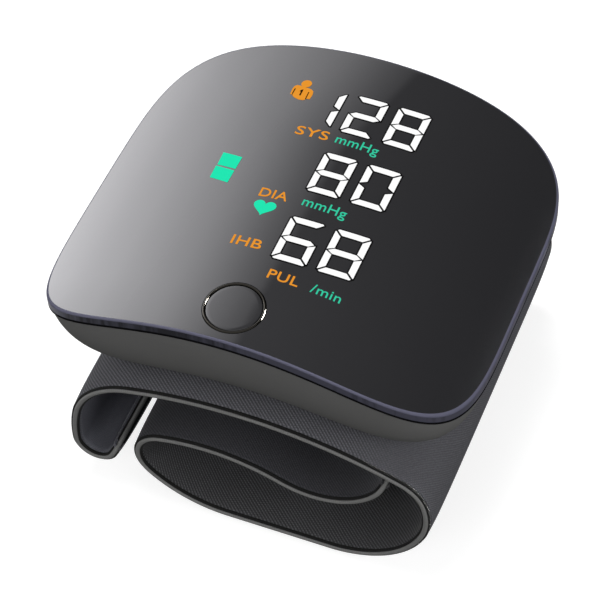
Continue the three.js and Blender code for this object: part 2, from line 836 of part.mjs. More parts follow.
// One moulded silicone tube with branches to the pump, the valve, the sensor and the bladder.
function airTubing() {
  const runs = [
    [[pumpX, pumpHeadRearY + gap, tubeHeight], [pumpX, tubeRunY, tubeHeight]],
    [[pumpX, tubeRunY, tubeHeight], [valveX, tubeRunY, tubeHeight]],
    [[valveX, tubeRunY, tubeHeight], [valveX, valveRearY + gap, tubeHeight]],
    [[pumpX, tubeRunY, tubeHeight], [pumpX, tubeRunY, sensorLow - sensorBarbLength - gap]],
    [[nippleX, tubeRunY, tubeHeight], [nippleX, tubeRunY, nippleTop + gap]],
  ];
  const sides = 12;
  const elbows = [pumpX, valveX].map((x) => {
    const ball = new THREE.SphereGeometry(tubeRadius, sides, sides / 2);
    ball.translate(x, tubeRunY, tubeHeight);
    return solidOf(ball);
  });
  const outer = join(...runs.map(([from, to]) => rod(tubeRadius, from, to, sides)), ...elbows);
  const bores = runs.map(([from, to]) => {
    const past = new THREE.Vector3(...to).sub(new THREE.Vector3(...from)).setLength(gap);
    const end = new THREE.Vector3(...to).add(past).toArray();
    return rod(tubeBore, from, end, sides / 2);
  });
  const inlet = rod(tubeBore, [pumpX, pumpHeadRearY, tubeHeight], [pumpX, tubeRunY, tubeHeight], sides / 2);
  return cut(outer, ...bores, inlet);
}

// Batteries

function batteryCell({ x, z }, side) {
  const half = cellLength / 2;
  return join(
    rod(cellRadius, [x, -half, z], [x, half, z], roundSides),
    rod(cellTipRadius, [x, 0, z], [x, side * (half + cellTipLength), z]),
  );
}

// Contact strip that joins the two cells at one end of the bay.
function batteryContact(side) {
  const near = side * contactY;
  const far = side * (contactY + contactThickness);
  const [y0, y1] = [Math.min(near, far), Math.max(near, far)];
  const pads = cells.map(({ x, z }) => rod(contactWidth / 2, [x, y0, z], [x, y1, z]));
  const bridge = new THREE.Shape([
    new THREE.Vector2(cells[0].x, cells[0].z + contactWidth / 4),
    new THREE.Vector2(cells[1].x, cells[1].z + contactWidth / 4),
    new THREE.Vector2(cells[1].x, cells[1].z - contactWidth / 4),
    new THREE.Vector2(cells[0].x, cells[0].z - contactWidth / 4),
  ]);
  const bar = new THREE.ExtrudeGeometry(bridge, { depth: contactThickness, bevelEnabled: false });
  bar.rotateX(Math.PI / 2);
  bar.translate(0, y1, 0);
  return join(...pads, solidOf(bar));
}

// Cuff

const clothLow = halfThickness - clothThickness;
const insertHalf = insertThickness / 2;
const layerHalfWidth = cuffHalfWidth - bindingWidth - gap;
const layerStart = bindingWidth + gap;
const upperEnd = foldAt - gap / 2;
const lowerStart = foldAt + gap / 2;
const layerEnd = stripEnd - bindingWidth - gap;
const retainerFrom = leftLength - retainerHalfLength;
const retainerTo = leftLength + retainerHalfLength;
const crownAt = leftLength + rightWalk.marks[9];

function clothUpper() {
  const cloth = strip(layerStart, upperEnd, clothLow, halfThickness, layerHalfWidth);
  const holes = [...studPlaces.map((place) => [place, studRadius]), [[nippleX, tubeRunY], nippleRadius]];
  const drills = holes.map(([[x, y], radius]) => rod(radius + gap, [x, y, clothTop(x) - overrun], [x, y, high]));
  const lining = strip(layerStart, upperEnd, -halfThickness, -clothLow, layerHalfWidth);
  return { cloth: cut(cloth, ...drills), lining };
}

function clothLower() {
  return {
    cloth: strip(lowerStart, layerEnd, clothLow, halfThickness, layerHalfWidth),
    lining: strip(lowerStart, layerEnd, -halfThickness, -clothLow, layerHalfWidth),
  };
}

// Plate inside the cuff, whose studs pass up through the cloth into the floor of the case.
function cuffRetainer() {
  const sheet = strip(retainerFrom, retainerTo, -insertHalf, insertHalf, retainerHalfWidth);
  const studs = studPlaces.map(([x, y]) => rod(
    studRadius,
    [x, y, clothTop(x) - halfThickness],
    [x, y, caseFloor(x) + gap],
  ));
  return join(sheet, ...studs);
}

function bladderUpper() {
  const sheet = strip(retainerTo + gap, upperEnd, -insertHalf, insertHalf, bladderHalfWidth);
  const nipple = rod(
    nippleRadius,
    [nippleX, tubeRunY, clothTop(nippleX) - halfThickness],
    [nippleX, tubeRunY, nippleTop],
  );
  return join(sheet, nipple);
}

const upper = clothUpper();
const lower = clothLower();

// Materials

const finish = (color, roughness, metalness = 0) => (
  new THREE.MeshStandardMaterial({ color, roughness, metalness })
);
const materials = {
  lens: finish(0x141417, 0.08),
  casing: finish(0x343433, 0.55),
  frame: finish(0x1f1f20, 0.6),
  ring: finish(0x3a3630, 0.25, 0.8),
  guide: finish(0xe8e8e4, 0.5),
  board: finish(0x1d5a35, 0.6),
  component: finish(0x191919, 0.5),
  steel: finish(0xb9bbbd, 0.3, 0.9),
  cell: finish(0x4a5a63, 0.35, 0.4),
  silicone: finish(0xd9d9d2, 0.6),
  bladder: finish(0x55585a, 0.7),
  cloth: finish(0x3a3a3d, 0.95),
  lining: finish(0x2b2b2e, 0.95),
  tape: finish(0x6c6c6b, 0.85),
  hook: finish(0x26272a, 0.95),
  sheet: finish(0x8d8f90, 0.5),
};

const monitor = new THREE.Group();

function add(name, solid, material) {
  const mesh = new THREE.Mesh(solid.isBufferGeometry ? solid : geometryOf(solid), material);
  mesh.name = name;
  monitor.add(mesh);
}

add("front_lens", frontLens(), materials.lens);
add("upper_frame", upperFrame(), materials.frame);
add("lower_case", lowerCase(), materials.casing);
add("battery_door", batteryDoor(), materials.casing);
screwPlaces.forEach((place, i) => add(`case_screw_${i + 1}`, caseScrew(place), materials.steel));

add("main_board", mainBoard(), materials.board);
add("display_light_guide", lightGuide(), materials.guide);
add("start_button", startButton(), materials.lens);
add("button_ring", buttonRing(), materials.ring);
add("button_switch", buttonSwitch(), materials.component);
add("buzzer", buzzer(), materials.component);

add("pump_motor", pumpMotor(), materials.steel);
add("pump_head", pumpHead(), materials.component);
add("release_valve", releaseValve(), materials.steel);
add("pressure_sensor", pressureSensor(), materials.component);
add("air_tubing", airTubing(), materials.silicone);

add("battery_cell_inner", batteryCell(cells[0], 1), materials.cell);
add("battery_cell_outer", batteryCell(cells[1], -1), materials.cell);
add("battery_contact_front", batteryContact(-1), materials.steel);
add("battery_contact_rear", batteryContact(1), materials.steel);

add("cuff_cloth_upper", upper.cloth, materials.cloth);
add("cuff_lining_upper", upper.lining, materials.lining);
add("cuff_binding_upper", binding(0, upperEnd, 0, bindingWidth), materials.tape);
add("cuff_retainer", cuffRetainer(), materials.sheet);
add("cuff_stiffener", strip(
  layerStart + gap,
  Math.min(seatStart + stepLength / 2, retainerFrom - gap),
  -insertHalf,
  insertHalf,
  stiffenerHalfWidth,
), materials.sheet);
add("hook_patch", strip(
  layerStart + gap,
  layerStart + gap + hookLength,
  -halfThickness - gap - hookThickness,
  -halfThickness - gap,
  layerHalfWidth - gap,
), materials.hook);
add("air_bladder_upper", bladderUpper(), materials.bladder);

add("cuff_cloth_lower", lower.cloth, materials.cloth);
add("cuff_lining_lower", lower.lining, materials.lining);
add("cuff_binding_lower", binding(lowerStart, stripEnd, stripEnd - bindingWidth, stripEnd), materials.tape);
add("air_bladder_lower", strip(lowerStart, crownAt, -insertHalf, insertHalf, bladderHalfWidth), materials.bladder);

console.log(`cuff folds at x ${(fold.x + halfThickness).toFixed(3)}, z ${fold.z.toFixed(3)} mm`);
console.log(`lens top ${lensApex.toFixed(3)}, strip length ${stripEnd.toFixed(1)} mm`);

export default monitor;
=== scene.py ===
"""Wrist blood pressure monitor: an arched display unit on a spring-curled cloth cuff."""

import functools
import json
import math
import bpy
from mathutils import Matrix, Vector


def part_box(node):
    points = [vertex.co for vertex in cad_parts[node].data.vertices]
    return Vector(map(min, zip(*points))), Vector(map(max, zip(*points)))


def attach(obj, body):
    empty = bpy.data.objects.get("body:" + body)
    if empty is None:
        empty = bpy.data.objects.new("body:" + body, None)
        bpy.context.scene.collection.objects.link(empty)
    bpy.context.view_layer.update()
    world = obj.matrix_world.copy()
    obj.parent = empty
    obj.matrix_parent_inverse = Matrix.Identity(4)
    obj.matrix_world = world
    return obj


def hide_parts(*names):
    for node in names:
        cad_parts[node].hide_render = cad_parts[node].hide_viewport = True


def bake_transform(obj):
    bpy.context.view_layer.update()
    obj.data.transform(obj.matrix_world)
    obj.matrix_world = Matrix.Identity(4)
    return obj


bl_info = {
    "name": "Wrist blood pressure monitor",
    "version": (1, 0, 0),
    "blender": (4, 5, 0),
    "location": "3D View > Sidebar > Monitor",
    "description": "Dresses the packed frame of a wrist blood pressure monitor",
    "category": "Object",
}

import bpy
import numpy as np
from bpy.props import FloatProperty, FloatVectorProperty, PointerProperty
from mathutils import Matrix, Vector

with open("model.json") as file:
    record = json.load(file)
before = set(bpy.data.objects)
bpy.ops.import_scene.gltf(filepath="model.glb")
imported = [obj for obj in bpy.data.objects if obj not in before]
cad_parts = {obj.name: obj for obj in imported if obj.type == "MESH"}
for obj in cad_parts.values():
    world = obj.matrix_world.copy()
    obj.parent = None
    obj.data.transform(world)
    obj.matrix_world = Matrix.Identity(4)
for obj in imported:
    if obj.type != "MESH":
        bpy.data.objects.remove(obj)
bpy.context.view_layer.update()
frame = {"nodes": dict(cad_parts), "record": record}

MM = 0.001
DEGREE = math.pi / 180
lens_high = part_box("front_lens")[1]

# Bends of the cuff's middle line in order from the free end of the left loop: radius in mm and
# clockwise turn in degrees. The straight foot has no radius, and its length in mm instead.
CUFF_BENDS = (
    (36.0, 6.0), (4.0, 143.0), (31.0, 15.0), (15.5, 61.0), (80.0, 15.0),
    (80.0, 22.0), (7.0, 50.0), (14.0, 18.0), (14.0, 21.0), (18.5, 69.0), (None, 19.974),
    (21.0, 45.0), (6.5, 119.0), (33.5, 40.0), (16.5, -10.0), (14.5, -92.0),
)
BENDS_BEFORE_SEAT_TOP = 5
STRIP_LENGTH = 226.4 * MM
TIP_LEAN, TIP_LENGTH = 0.9 * MM, 13 * MM  # how far the loop's free end leans inwards, and from where
SPLIT_ABOVE = 25.6 * MM  # heights where the right-hand bend piece meets the two stiff ones
SPLIT_BELOW = 10.2 * MM

# Brightness of the studio board by its angle from straight up, negative to the left, in degrees
BOARD_LIGHT = (
    (-130, 1.0), (-96, 4.2), (-85, 4.9), (-67, 5.5), (-56, 5.3), (-44, 4.65), (-38, 4.0),
    (-33, 3.3), (-24, 2.0), (-16.0, 1.05), (-15.0, 0.42), (-5, 0.36), (12, 0.24), (24, 0.18),
    (36, 0.12), (50, 0.07), (64, 0.05), (112, 0.05), (130, 0.4),
)
BOARD_SLANT = 131 * DEGREE
# The small lamp on the board: its angles, its middle and half height, and its strength
SPOT_FROM, SPOT_TO, SPOT_MIDDLE, SPOT_HALF, SPOT_STRENGTH = 66 * DEGREE, 92 * DEGREE, 0.58, 0.2, 500.0
# Lamps: name, place, size and power
LAMPS = (
    ("key_light", (-0.12, 0.08, 1.15), 0.35, 7.2), ("front_light", (-0.15, -0.85, 0.68), 0.5, 3.3),
    ("fill_light", (0.78, -0.15, 0.42), 0.6, 3.2), ("left_light", (-0.85, -0.1, 0.45), 0.5, 2.0),
)

# Heights of the lit areas against the lens's top face: foot, top, and top of what lies over others
LIT_FOOT, LIT_TOP, OVER_TOP = -0.05 * MM, 0.06 * MM, 0.09 * MM
# Strokes of a numeral: top, upper left, upper right, middle, lower left, lower right, foot
LIT_STROKES = {
    "0": "1110111", "1": "0010010", "2": "1011101", "6": "1101111", "8": "1111111",
}
# Rows: name, digits, left edge of the last digit, width, pitch, top and foot in mm
NUMERAL_ROWS = (
    ("upper", "128", 8.48, 5.85, 7.75, 24.45, 15.1), ("middle", "80", 8.36, 5.98, 7.9, 9.42, 0.0),
    ("lower", "68", 8.58, 6.17, 8.03, -6.37, -16.05),
)
# Words beside the numerals: name, text, left, right, foot and capital height in mm, colour name
LABELS = (
    ("label_systolic", "SYS", -6.6, -0.45, 12.15, 2.05, "orange"),
    ("label_diastolic", "DIA", -6.85, -1.7, -3.65, 1.95, "orange"),
    ("label_heartbeat", "IHB", -7.25, -1.8, -15.1, 1.95, "orange"),
    ("label_pulse", "PUL", 1.55, 7.0, -20.25, 1.9, "orange"),
    ("label_unit_upper", "mmHg", 0.95, 8.8, 12.25, 1.95, "pale teal"),
    ("label_unit_middle", "mmHg", 1.05, 8.95, -3.45, 1.95, "pale teal"),
    ("label_rate", "/min", 9.25, 14.5, -20.2, 1.8, "pale teal"),
)
# Outlines of the signs, in mm
BATTERY_SIGN = (
    ((-17.28, 5.3), (-13.33, 4.51), (-13.38, 1.57), (-17.14, 2.24)),
    ((-17.26, 1.9), (-13.39, 1.09), (-13.43, -1.84), (-17.18, -1.0)),
)
PERSON_BODY = (
    (-11.27, 21.66), (-11.4, 23.08), (-11.26, 23.86), (-10.85, 24.18), (-10.13, 24.1), (-9.3, 23.86),
    (-8.49, 23.74), (-7.85, 23.54), (-7.4, 23.14), (-7.2, 22.38), (-7.27, 21.1), (-7.62, 21.08),
    (-8.02, 21.05), (-8.1, 20.72), (-8.5, 20.55), (-9.34, 20.6), (-10.26, 20.98), (-10.72, 21.4),
    (-10.8, 21.6),
)
PERSON_FIGURE = (
    ((-10.78, 23.2), (-10.98, 23.2), (-11.0, 21.9), (-10.8, 21.4)),
    ((-8.0, 22.75), (-8.18, 22.78), (-8.1, 20.95), (-7.92, 20.95)),
    ((-9.3, 23.2), (-9.58, 23.12), (-9.82, 22.74), (-9.74, 22.54), (-9.56, 22.66), (-9.54, 21.62),
     (-9.24, 21.6)),
)

DOOR_EDGE = -33 * MM  # where the battery door begins
GRIP_MIDDLE, GRIP_PITCH, GRIP_RISE = 35.6 * MM, 2.2 * MM, 0.28 * MM
GRIP_HALF = (9 * MM, 0.45 * MM)  # half the width and half the height of a grip rib
TAB_Y, TAB_HALF = 25.8 * MM, 0.55 * MM
SCREW_HEAD, SCREW_HEAD_RADIUS, SCREW_RADIUS, SCREW_SOCKET = 1.4 * MM, 1.2 * MM, 0.75 * MM, 0.7 * MM
SCREW_INSET = (0.6 * MM, 1.2 * MM)  # how far a screw stands inside its solid, for the narrower bowl
HOOKS_FROM, HOOKS_LENGTH = 2.9 * MM, 34 * MM
BLADDER_FROM, BLADDER_HALF = 15.3 * MM, 27 * MM
NIPPLE_X, NIPPLE_Y, NIPPLE_RADIUS = 18.5 * MM, 12 * MM, 1.8 * MM


def srgb(red, green, blue):
    """Linear colour for a colour written as three numbers from 0 to 255."""
    def linear(value):
        value /= 255
        return value / 12.92 if value <= 0.04045 else ((value + 0.055) / 1.055) ** 2.4
    return (linear(red), linear(green), linear(blue))


# Finishes of moulded pieces: name, colour, roughness, then unevenness, bump and metallic
INNER_LOOKS = {
    "frame": ("frame plastic", srgb(32, 32, 33), 0.6),
    "steel": ("plain steel", srgb(186, 188, 190), 0.3, 0.06, 0.03, 1.0),
    "board": ("solder mask", srgb(22, 84, 48), 0.35, 0.15),
    "guide": ("white reflector", srgb(226, 226, 222), 0.5),
    "component": ("black component", srgb(25, 25, 26), 0.45),
    "silicone": ("milky silicone", srgb(214, 214, 205), 0.55, 0.05),
    "cell": ("cell sleeve", srgb(62, 84, 96), 0.3, 0.05, 0.02),
    "sheet": ("sheet plastic", srgb(120, 122, 124), 0.5),
}


# Settings


def length(name, default, description):
    return FloatProperty(name=name, default=default, unit="LENGTH", precision=5, description=description)


def colour(name, default, description):
    return FloatVectorProperty(
        name=name, default=default, size=3, subtype="COLOR", min=0, max=1, description=description
    )


def number(name, default, description, **limits):
    return FloatProperty(name=name, default=default, description=description, **limits)


def angle(name, degrees, description):
    return number(name, degrees * DEGREE, description, subtype="ANGLE")


class MonitorUnitSettings(bpy.types.PropertyGroup):
    """Sizes of the display unit."""

    arch_radius: length("Arch radius", 0.066, "Radius of the lens's arch from side to side")
    crown_radius: length("Crown radius", 0.830, "Radius of the lens's slight curve from front to back")
    corner_power: number("Corner power", 5, "Exponent of the outline")
    lens_thickness: length("Lens thickness", 0.0022, "Thickness of the lens")
    lens_bevel: length("Lens bevel", 0.00035, "Width of the rounding round the lens's top edge")
    rim_inset: length("Rim inset", 0.0003, "Lens edge to the case's rim")
    bowl_inset_x: length("Bowl inset, sides", 0.0084, "How far the bowl draws in at its sides")
    bowl_inset_y: length("Bowl inset, front", 0.0067, "How far the bowl draws in at front and back")
    bowl_sweep: angle("Bowl sweep", 80, "Part of a quarter round that the bowl's side follows")
    bowl_lean: number("Bowl lean", 0.2, "Share of the inset that the side makes as a straight slope",
                      min=0, max=1, subtype="FACTOR")
    wall: length("Wall", 0.0012, "Thickness of the case's wall")
    floor: length("Floor", 0.0016, "Thickness of the case's floor")
    gap: length("Gap", 0.0003, "Clearance between pieces")
    button_x: length("Button X", -0.001, "Middle of the button, from the middle of the lens")
    button_y: length("Button Y", -0.028, "Middle of the button, from the middle of the lens")
    button_radius: length("Button radius", 0.00475, "Radius of the start button")
    ring_radius: length("Ring radius", 0.00525, "Outer radius of the ring round the button")


class MonitorDisplaySettings(bpy.types.PropertyGroup):
    """Sizes and colours of the lit display."""

    stroke: length("Stroke", 0.00115, "Width of a numeral's stroke")
    mitre: length("Mitre gap", 0.00032, "Gap between two strokes")
    # The dark line round a stroke is a painted shadow.
    outline: length("Outline", 0.00024, "Width of the dark line round a stroke")
    rise: number("Rise", 4.5, "How much the rows of numerals curve upwards at their sides, per metre")
    white: colour("White", (1.0, 1.0, 1.0), "Numerals")
    orange: colour("Orange", srgb(232, 148, 36), "Labels and the person sign")
    teal: colour("Teal", srgb(18, 229, 176), "Battery and heart signs")
    pale_teal: colour("Pale teal", srgb(46, 200, 160), "Units")


class MonitorCuffSettings(bpy.types.PropertyGroup):
    """Sizes and colours of the cuff."""

    width: length("Cuff width", 0.068, "Width of the strip, binding included")
    half_thickness: length("Half thickness", 0.0012, "Half the strip's thickness, at its padded middle")
    edge_thickness: length("Half edge", 0.0008, "Half the strip's thickness beside its binding")
    cloth: length("Cloth", 0.00065, "Thickness of the cloth and of the lining")
    piping: length("Piping", 0.00047, "Radius of the round cord along the edge")
    # The lips beside the piping are dark by painted shade, in the binding's material.
    lip: length("Lip", 0.0003, "Radius of the dark lips beside the piping")
    rib_pitch: length("Rib pitch", 0.0005, "Distance between the twill's ribs")
    cloth_colour: colour("Cloth", srgb(99, 99, 104), "Outer cloth")
    # The tongue's cloth is darker than the outer cloth by painted shade of the unit above it; its
    # fainter ribs are its own.
    tongue_painted_shade_colour: colour("Tongue cloth", srgb(68, 68, 72), "Cloth of the heel and the tongue")
    lining_colour: colour("Lining", srgb(78, 78, 80), "Lining")
    loop_colour: colour("Loop lining", srgb(104, 105, 113), "Lining and hook patch of the left loop")
    binding_colour: colour("Binding", srgb(134, 134, 133), "Edge binding")


class MonitorFinishSettings(bpy.types.PropertyGroup):
    """Colours of the hard pieces."""

    lens: colour("Lens", srgb(38, 38, 40), "Black lens")
    # The lens edge's colour is painted light: a lit band on the bevel, and a dimmer share of it as
    # streaks on the clear wall.
    lens_edge_painted_light: colour("Lens edge", srgb(96, 96, 113), "Clear edge of the lens")
    case: colour("Case", srgb(122, 122, 121), "Case and battery door")
    ring: colour("Ring", srgb(44, 42, 38), "Polished ring round the button")


class MonitorViewSettings(bpy.types.PropertyGroup):
    """Where the photograph was taken from."""

    azimuth: angle("Azimuth", 24.70, "Turn of the camera round the object from the front")
    elevation: angle("Elevation", 50.12, "Angle of the camera above the ground")
    roll: angle("Roll", -3.52, "Turn of the camera about its line of sight")
    distance: length("Distance", 0.38784, "Distance to the plane of the lens's top")
    offset_x: length("Offset right", 0.00053, "Top of the lens, to the right of the view's middle")
    offset_y: length("Offset up", 0.01899, "Top of the lens, above the view's middle")
    focal_length: number("Focal length", 135.85, "Focal length in mm on a 36 mm sensor")


# Working with objects


def pick(*pieces):
    """Selects these objects alone and makes the first one active."""
    if bpy.context.object and bpy.context.object.mode != "OBJECT":
        bpy.ops.object.mode_set(mode="OBJECT")
    bpy.ops.object.select_all(action="DESELECT")
    for piece in pieces:
        piece.select_set(True)
    bpy.context.view_layer.objects.active = pieces[0]


def edit(piece, mode="VERT"):
    """Opens a piece in edit mode with all of it selected."""
    pick(piece)
    bpy.ops.object.mode_set(mode="EDIT")
    bpy.ops.mesh.select_mode(type=mode)
    bpy.ops.mesh.select_all(action="SELECT")


def modify(piece, kind, **settings):
    """Adds a modifier and applies it."""
    pick(piece)
    bpy.ops.object.modifier_add(type=kind)
    modifier = piece.modifiers[-1]
    for key, value in settings.items():
        setattr(modifier, key, value)
    bpy.ops.object.modifier_apply(modifier=modifier.name)


def laid_grid(name, rows, uv=None):
    """A grid primitive whose points are laid on rows of points in space, in metres."""
    rows = np.asarray(rows, float)
    down, across = rows.shape[:2]
    bpy.ops.object.select_all(action="DESELECT")
    bpy.ops.mesh.primitive_grid_add(
        x_subdivisions=across - 1, y_subdivisions=down - 1, size=1, calc_uvs=True
    )
    piece = bpy.context.object
    piece.name = piece.data.name = name
    mesh = piece.data
    flat = np.empty(len(mesh.vertices) * 3)
    mesh.vertices.foreach_get("co", flat)
    flat = flat.reshape(-1, 3)
    column = np.rint((flat[:, 0] + 0.5) * (across - 1)).astype(int)
    row = np.rint((flat[:, 1] + 0.5) * (down - 1)).astype(int)
    mesh.vertices.foreach_set("co", rows[row, column].ravel())
    if uv is not None:
        loops = np.empty(len(mesh.loops), int)
        mesh.loops.foreach_get("vertex_index", loops)
        mesh.uv_layers.active.data.foreach_set("uv", np.asarray(uv)[row, column][loops].ravel())
    mesh.update()
    return piece


def face_out(inside=False):
    """Points all faces of the piece in edit mode outwards, or inwards, and leaves edit mode."""
    bpy.ops.mesh.select_all(action="SELECT")
    bpy.ops.mesh.normals_make_consistent(inside=inside)
    bpy.ops.object.mode_set(mode="OBJECT")


def close_up(piece, fill=True):
    """Welds the seams of a laid grid, fills its open ends and points its faces outwards."""
    edit(piece)
    bpy.ops.mesh.remove_doubles(threshold=2e-6)
    if fill:
        bpy.ops.mesh.select_all(action="DESELECT")
        bpy.ops.mesh.select_non_manifold(extend=False)
        bpy.ops.mesh.fill_holes(sides=0)
    face_out()


def smooth(piece, angle=30):
    pick(piece)
    bpy.ops.object.shade_smooth_by_angle(angle=angle * DEGREE)


def block(name, low, high):
    """A cube between two corners, for cutting."""
    low, high = Vector(low), Vector(high)
    bpy.ops.object.select_all(action="DESELECT")
    bpy.ops.mesh.primitive_cube_add(size=1, location=(low + high) / 2)
    piece = bpy.context.object
    piece.name = name
    piece.scale = high - low
    bpy.ops.object.transform_apply(location=True, rotation=True, scale=True)
    return piece


def cylinder(x, y, low, high, radius, vertices):
    """An upright cylinder between two heights."""
    bpy.ops.mesh.primitive_cylinder_add(
        vertices=vertices, radius=radius, depth=high - low, location=(x, y, (low + high) / 2)
    )
    return bpy.context.object


def combine(piece, other, operation):
    """Joins, cuts or intersects a piece with another, which is then deleted."""
    modify(piece, "BOOLEAN", operation=operation, object=other, solver="EXACT")
    bpy.data.objects.remove(other, do_unlink=True)


def joined(name, pieces):
    """Several pieces as one, under a name."""
    pick(*pieces)
    if len(pieces) > 1:
        bpy.ops.object.join()
    pieces[0].name = pieces[0].data.name = name
    return pieces[0]


def copied(piece, name):
    twin = piece.copy()
    twin.data = piece.data.copy()
    twin.name = twin.data.name = name
    bpy.context.scene.collection.objects.link(twin)
    return twin


def paint(piece, *materials):
    """Gives a piece its materials, in the order of its slots."""
    piece.data.materials.clear()
    for material in materials:
        piece.data.materials.append(material)


def settle(piece, body, node, slot, *materials):
    """Paints a piece and declares what it rides on and what it replaces; the slot is not used. Without a
    body it keeps its place, with no parent."""
    if materials:
        paint(piece, *materials)
    if body:
        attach(piece, body)
    else:
        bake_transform(piece)
    if body and node:
        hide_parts(node)


# The unit's surfaces


def unit():
    return bpy.context.scene.monitor_unit


def lens_top(x, y):
    """Height of the lens's top face."""
    arch, crown = unit().arch_radius, unit().crown_radius
    fall = arch - np.sqrt(arch**2 - np.square(x)) + crown - np.sqrt(crown**2 - np.square(y))
    return lens_high.z - fall


def rim_reach(angle, half_x, half_y):
    """Distance from the middle to the rounded-square outline at an angle."""
    power = unit().corner_power
    across = np.abs(np.cos(angle) / half_x) ** power + np.abs(np.sin(angle) / half_y) ** power
    return across ** (-1 / power)


def ring(half_x, half_y, share, height, count=224):
    """Closed row of points on the outline, drawn in to a share of its size, at a height."""
    even = np.linspace(0, 2 * math.pi, count + 1)
    turn = even + 0.1 * np.sin(4 * even)
    reach = share * rim_reach(turn, half_x, half_y)
    x, y = reach * np.cos(turn), reach * np.sin(turn)
    return np.stack([x, y, height(x, y)], 1)


def case_bottom(x, _y):
    cuff = CuffLine.shared()
    outer = cuff.seat_radius + bpy.context.scene.monitor_cuff.half_thickness
    return cuff.seat_height - cuff.seat_radius + np.sqrt(outer**2 - np.square(x)) + unit().gap


# The cuff's middle line


class CuffLine:
    """Middle line of the cuff strip, measured from the free end of the left loop."""

    _shared = None

    def __init__(self):
        start, x, z = 0.0, 0.0, 0.0
        heading = sum(turn for _, turn in CUFF_BENDS[:BENDS_BEFORE_SEAT_TOP]) * DEGREE
        self.parts = []
        for radius, turn in CUFF_BENDS:
            if radius is None:
                bend, span = 0.0, turn * MM
            else:
                bend, span = -math.copysign(1 / (radius * MM), turn), abs(turn) * DEGREE * radius * MM
            self.parts.append((start, x, z, heading, bend, span))
            x, z, heading = self._step(x, z, heading, bend, span)
            start += span
        top = self.parts[BENDS_BEFORE_SEAT_TOP]
        lengths = np.linspace(0, start, 1200)
        lowest = min(self._raw(s)[1] for s in lengths)
        half = bpy.context.scene.monitor_cuff.half_thickness
        self.shift = (-top[1], half - lowest)
        self.seat_length = top[0]
        self.seat_height = top[2] + self.shift[1]
        self.seat_radius = CUFF_BENDS[BENDS_BEFORE_SEAT_TOP][0] * MM

    @classmethod
    def shared(cls):
        if cls._shared is None:
            cls._shared = cls()
        return cls._shared

    @staticmethod
    def _step(x, z, heading, bend, span):
        if bend == 0:
            return x + span * math.cos(heading), z + span * math.sin(heading), heading
        after = heading + bend * span
        x += (math.sin(after) - math.sin(heading)) / bend
        z -= (math.cos(after) - math.cos(heading)) / bend
        return x, z, after

    def _raw(self, s):
        part = next((p for p in reversed(self.parts) if p[0] <= s), self.parts[0])
        return self._step(*part[1:5], s - part[0])

    def at(self, s):
        """Place and heading of the middle line at a length."""
        x, z, heading = self._raw(s)
        return x + self.shift[0], z + self.shift[1], heading

    def point(self, s, y, offset):
        """Point beside the middle line: offset is positive on the outer side of the cuff."""
        x, z, heading = self.at(s)
        offset -= TIP_LEAN * max(0.0, 1 - s / TIP_LENGTH) ** 2
        return (x - offset * math.sin(heading), y, z + offset * math.cos(heading))

    def length_at_height(self, height, low, high):
        """Length at which the right-hand side of the strip passes a height."""
        for _ in range(40):
            middle = (low + high) / 2
            low, high = (middle, high) if self.at(middle)[1] > height else (low, middle)
        return low

    def lengths(self, start, end, step=0.5 * MM):
        """Lengths between two ends, at fixed places of the whole strip so that pieces match."""
        first, last = math.ceil(start / step + 0.2), math.floor(end / step - 0.2)
        return np.array([start, *(np.arange(first, last + 1) * step), end])

    def splits(self):
        above = self.length_at_height(SPLIT_ABOVE, self.seat_length, self.seat_length + 45 * MM)
        below = self.length_at_height(SPLIT_BELOW, above, above + 22 * MM)
        return above, below


# Shader nodes


def feed(tree, node, inputs):
    """Sets a node's inputs, or links them where the value is another node's output."""
    for key, value in inputs.items():
        if isinstance(value, bpy.types.NodeSocket):
            tree.links.new(value, node.inputs[key])
        else:
            node.inputs[key].default_value = value


def make_node(tree, kind, inputs=None, **settings):
    """Adds a shader node with its own settings and its inputs."""
    made = tree.nodes.new(f"ShaderNode{kind}")
    for key, value in settings.items():
        setattr(made, key, value)
    feed(tree, made, inputs or {})
    return made


def maths(tree, operation, *values):
    return make_node(tree, "Math", dict(enumerate(values)), operation=operation).outputs[0]


def noise(tree, place, scale, detail=2.0):
    return make_node(tree, "TexNoise", {"Vector": place, "Scale": scale, "Detail": detail}).outputs[0]


def ranged(tree, value, low, high):
    """A value as a share of the way from low to high."""
    return make_node(tree, "MapRange", {"Value": value, "From Min": low, "From Max": high}).outputs[0]


def mixed(tree, factor, first, second, **settings):
    """A colour that gives way to another."""
    inputs = {"Factor": factor, 6: first, 7: second}
    return make_node(tree, "Mix", inputs, data_type="RGBA", **settings).outputs[2]


def between(tree, factor, first, second):
    """A value that gives way to another."""
    return make_node(tree, "Mix", {"Factor": factor, 2: first, 3: second}, data_type="FLOAT").outputs[0]


def shaded(tree, base, shade):
    """A colour multiplied by a shade."""
    return mixed(tree, 1, (*base, 1), shade, blend_type="MULTIPLY")


def bumped(tree, height, strength, distance):
    inputs = {"Height": height, "Strength": strength, "Distance": distance}
    return make_node(tree, "Bump", inputs).outputs[0]


def split(tree, vector):
    return make_node(tree, "SeparateXYZ", {"Vector": vector}).outputs


def scaled(tree, place, scale):
    return make_node(tree, "Mapping", {"Vector": place, "Scale": scale}).outputs[0]


def in_space(tree):
    return make_node(tree, "TexCoord").outputs["Object"]


def on_strip(tree):
    return make_node(tree, "UVMap").outputs[0]


def ramp(tree, value, stops):
    """A colour by value, from stops of a position and a colour."""
    made = make_node(tree, "ValToRGB", {"Fac": value})
    elements = made.color_ramp.elements
    while len(elements) < len(stops):
        elements.new(0.5)
    for element, (position, tint) in zip(elements, stops):
        element.position = position
        element.color = (*tint, 1)
    return made.outputs[0]


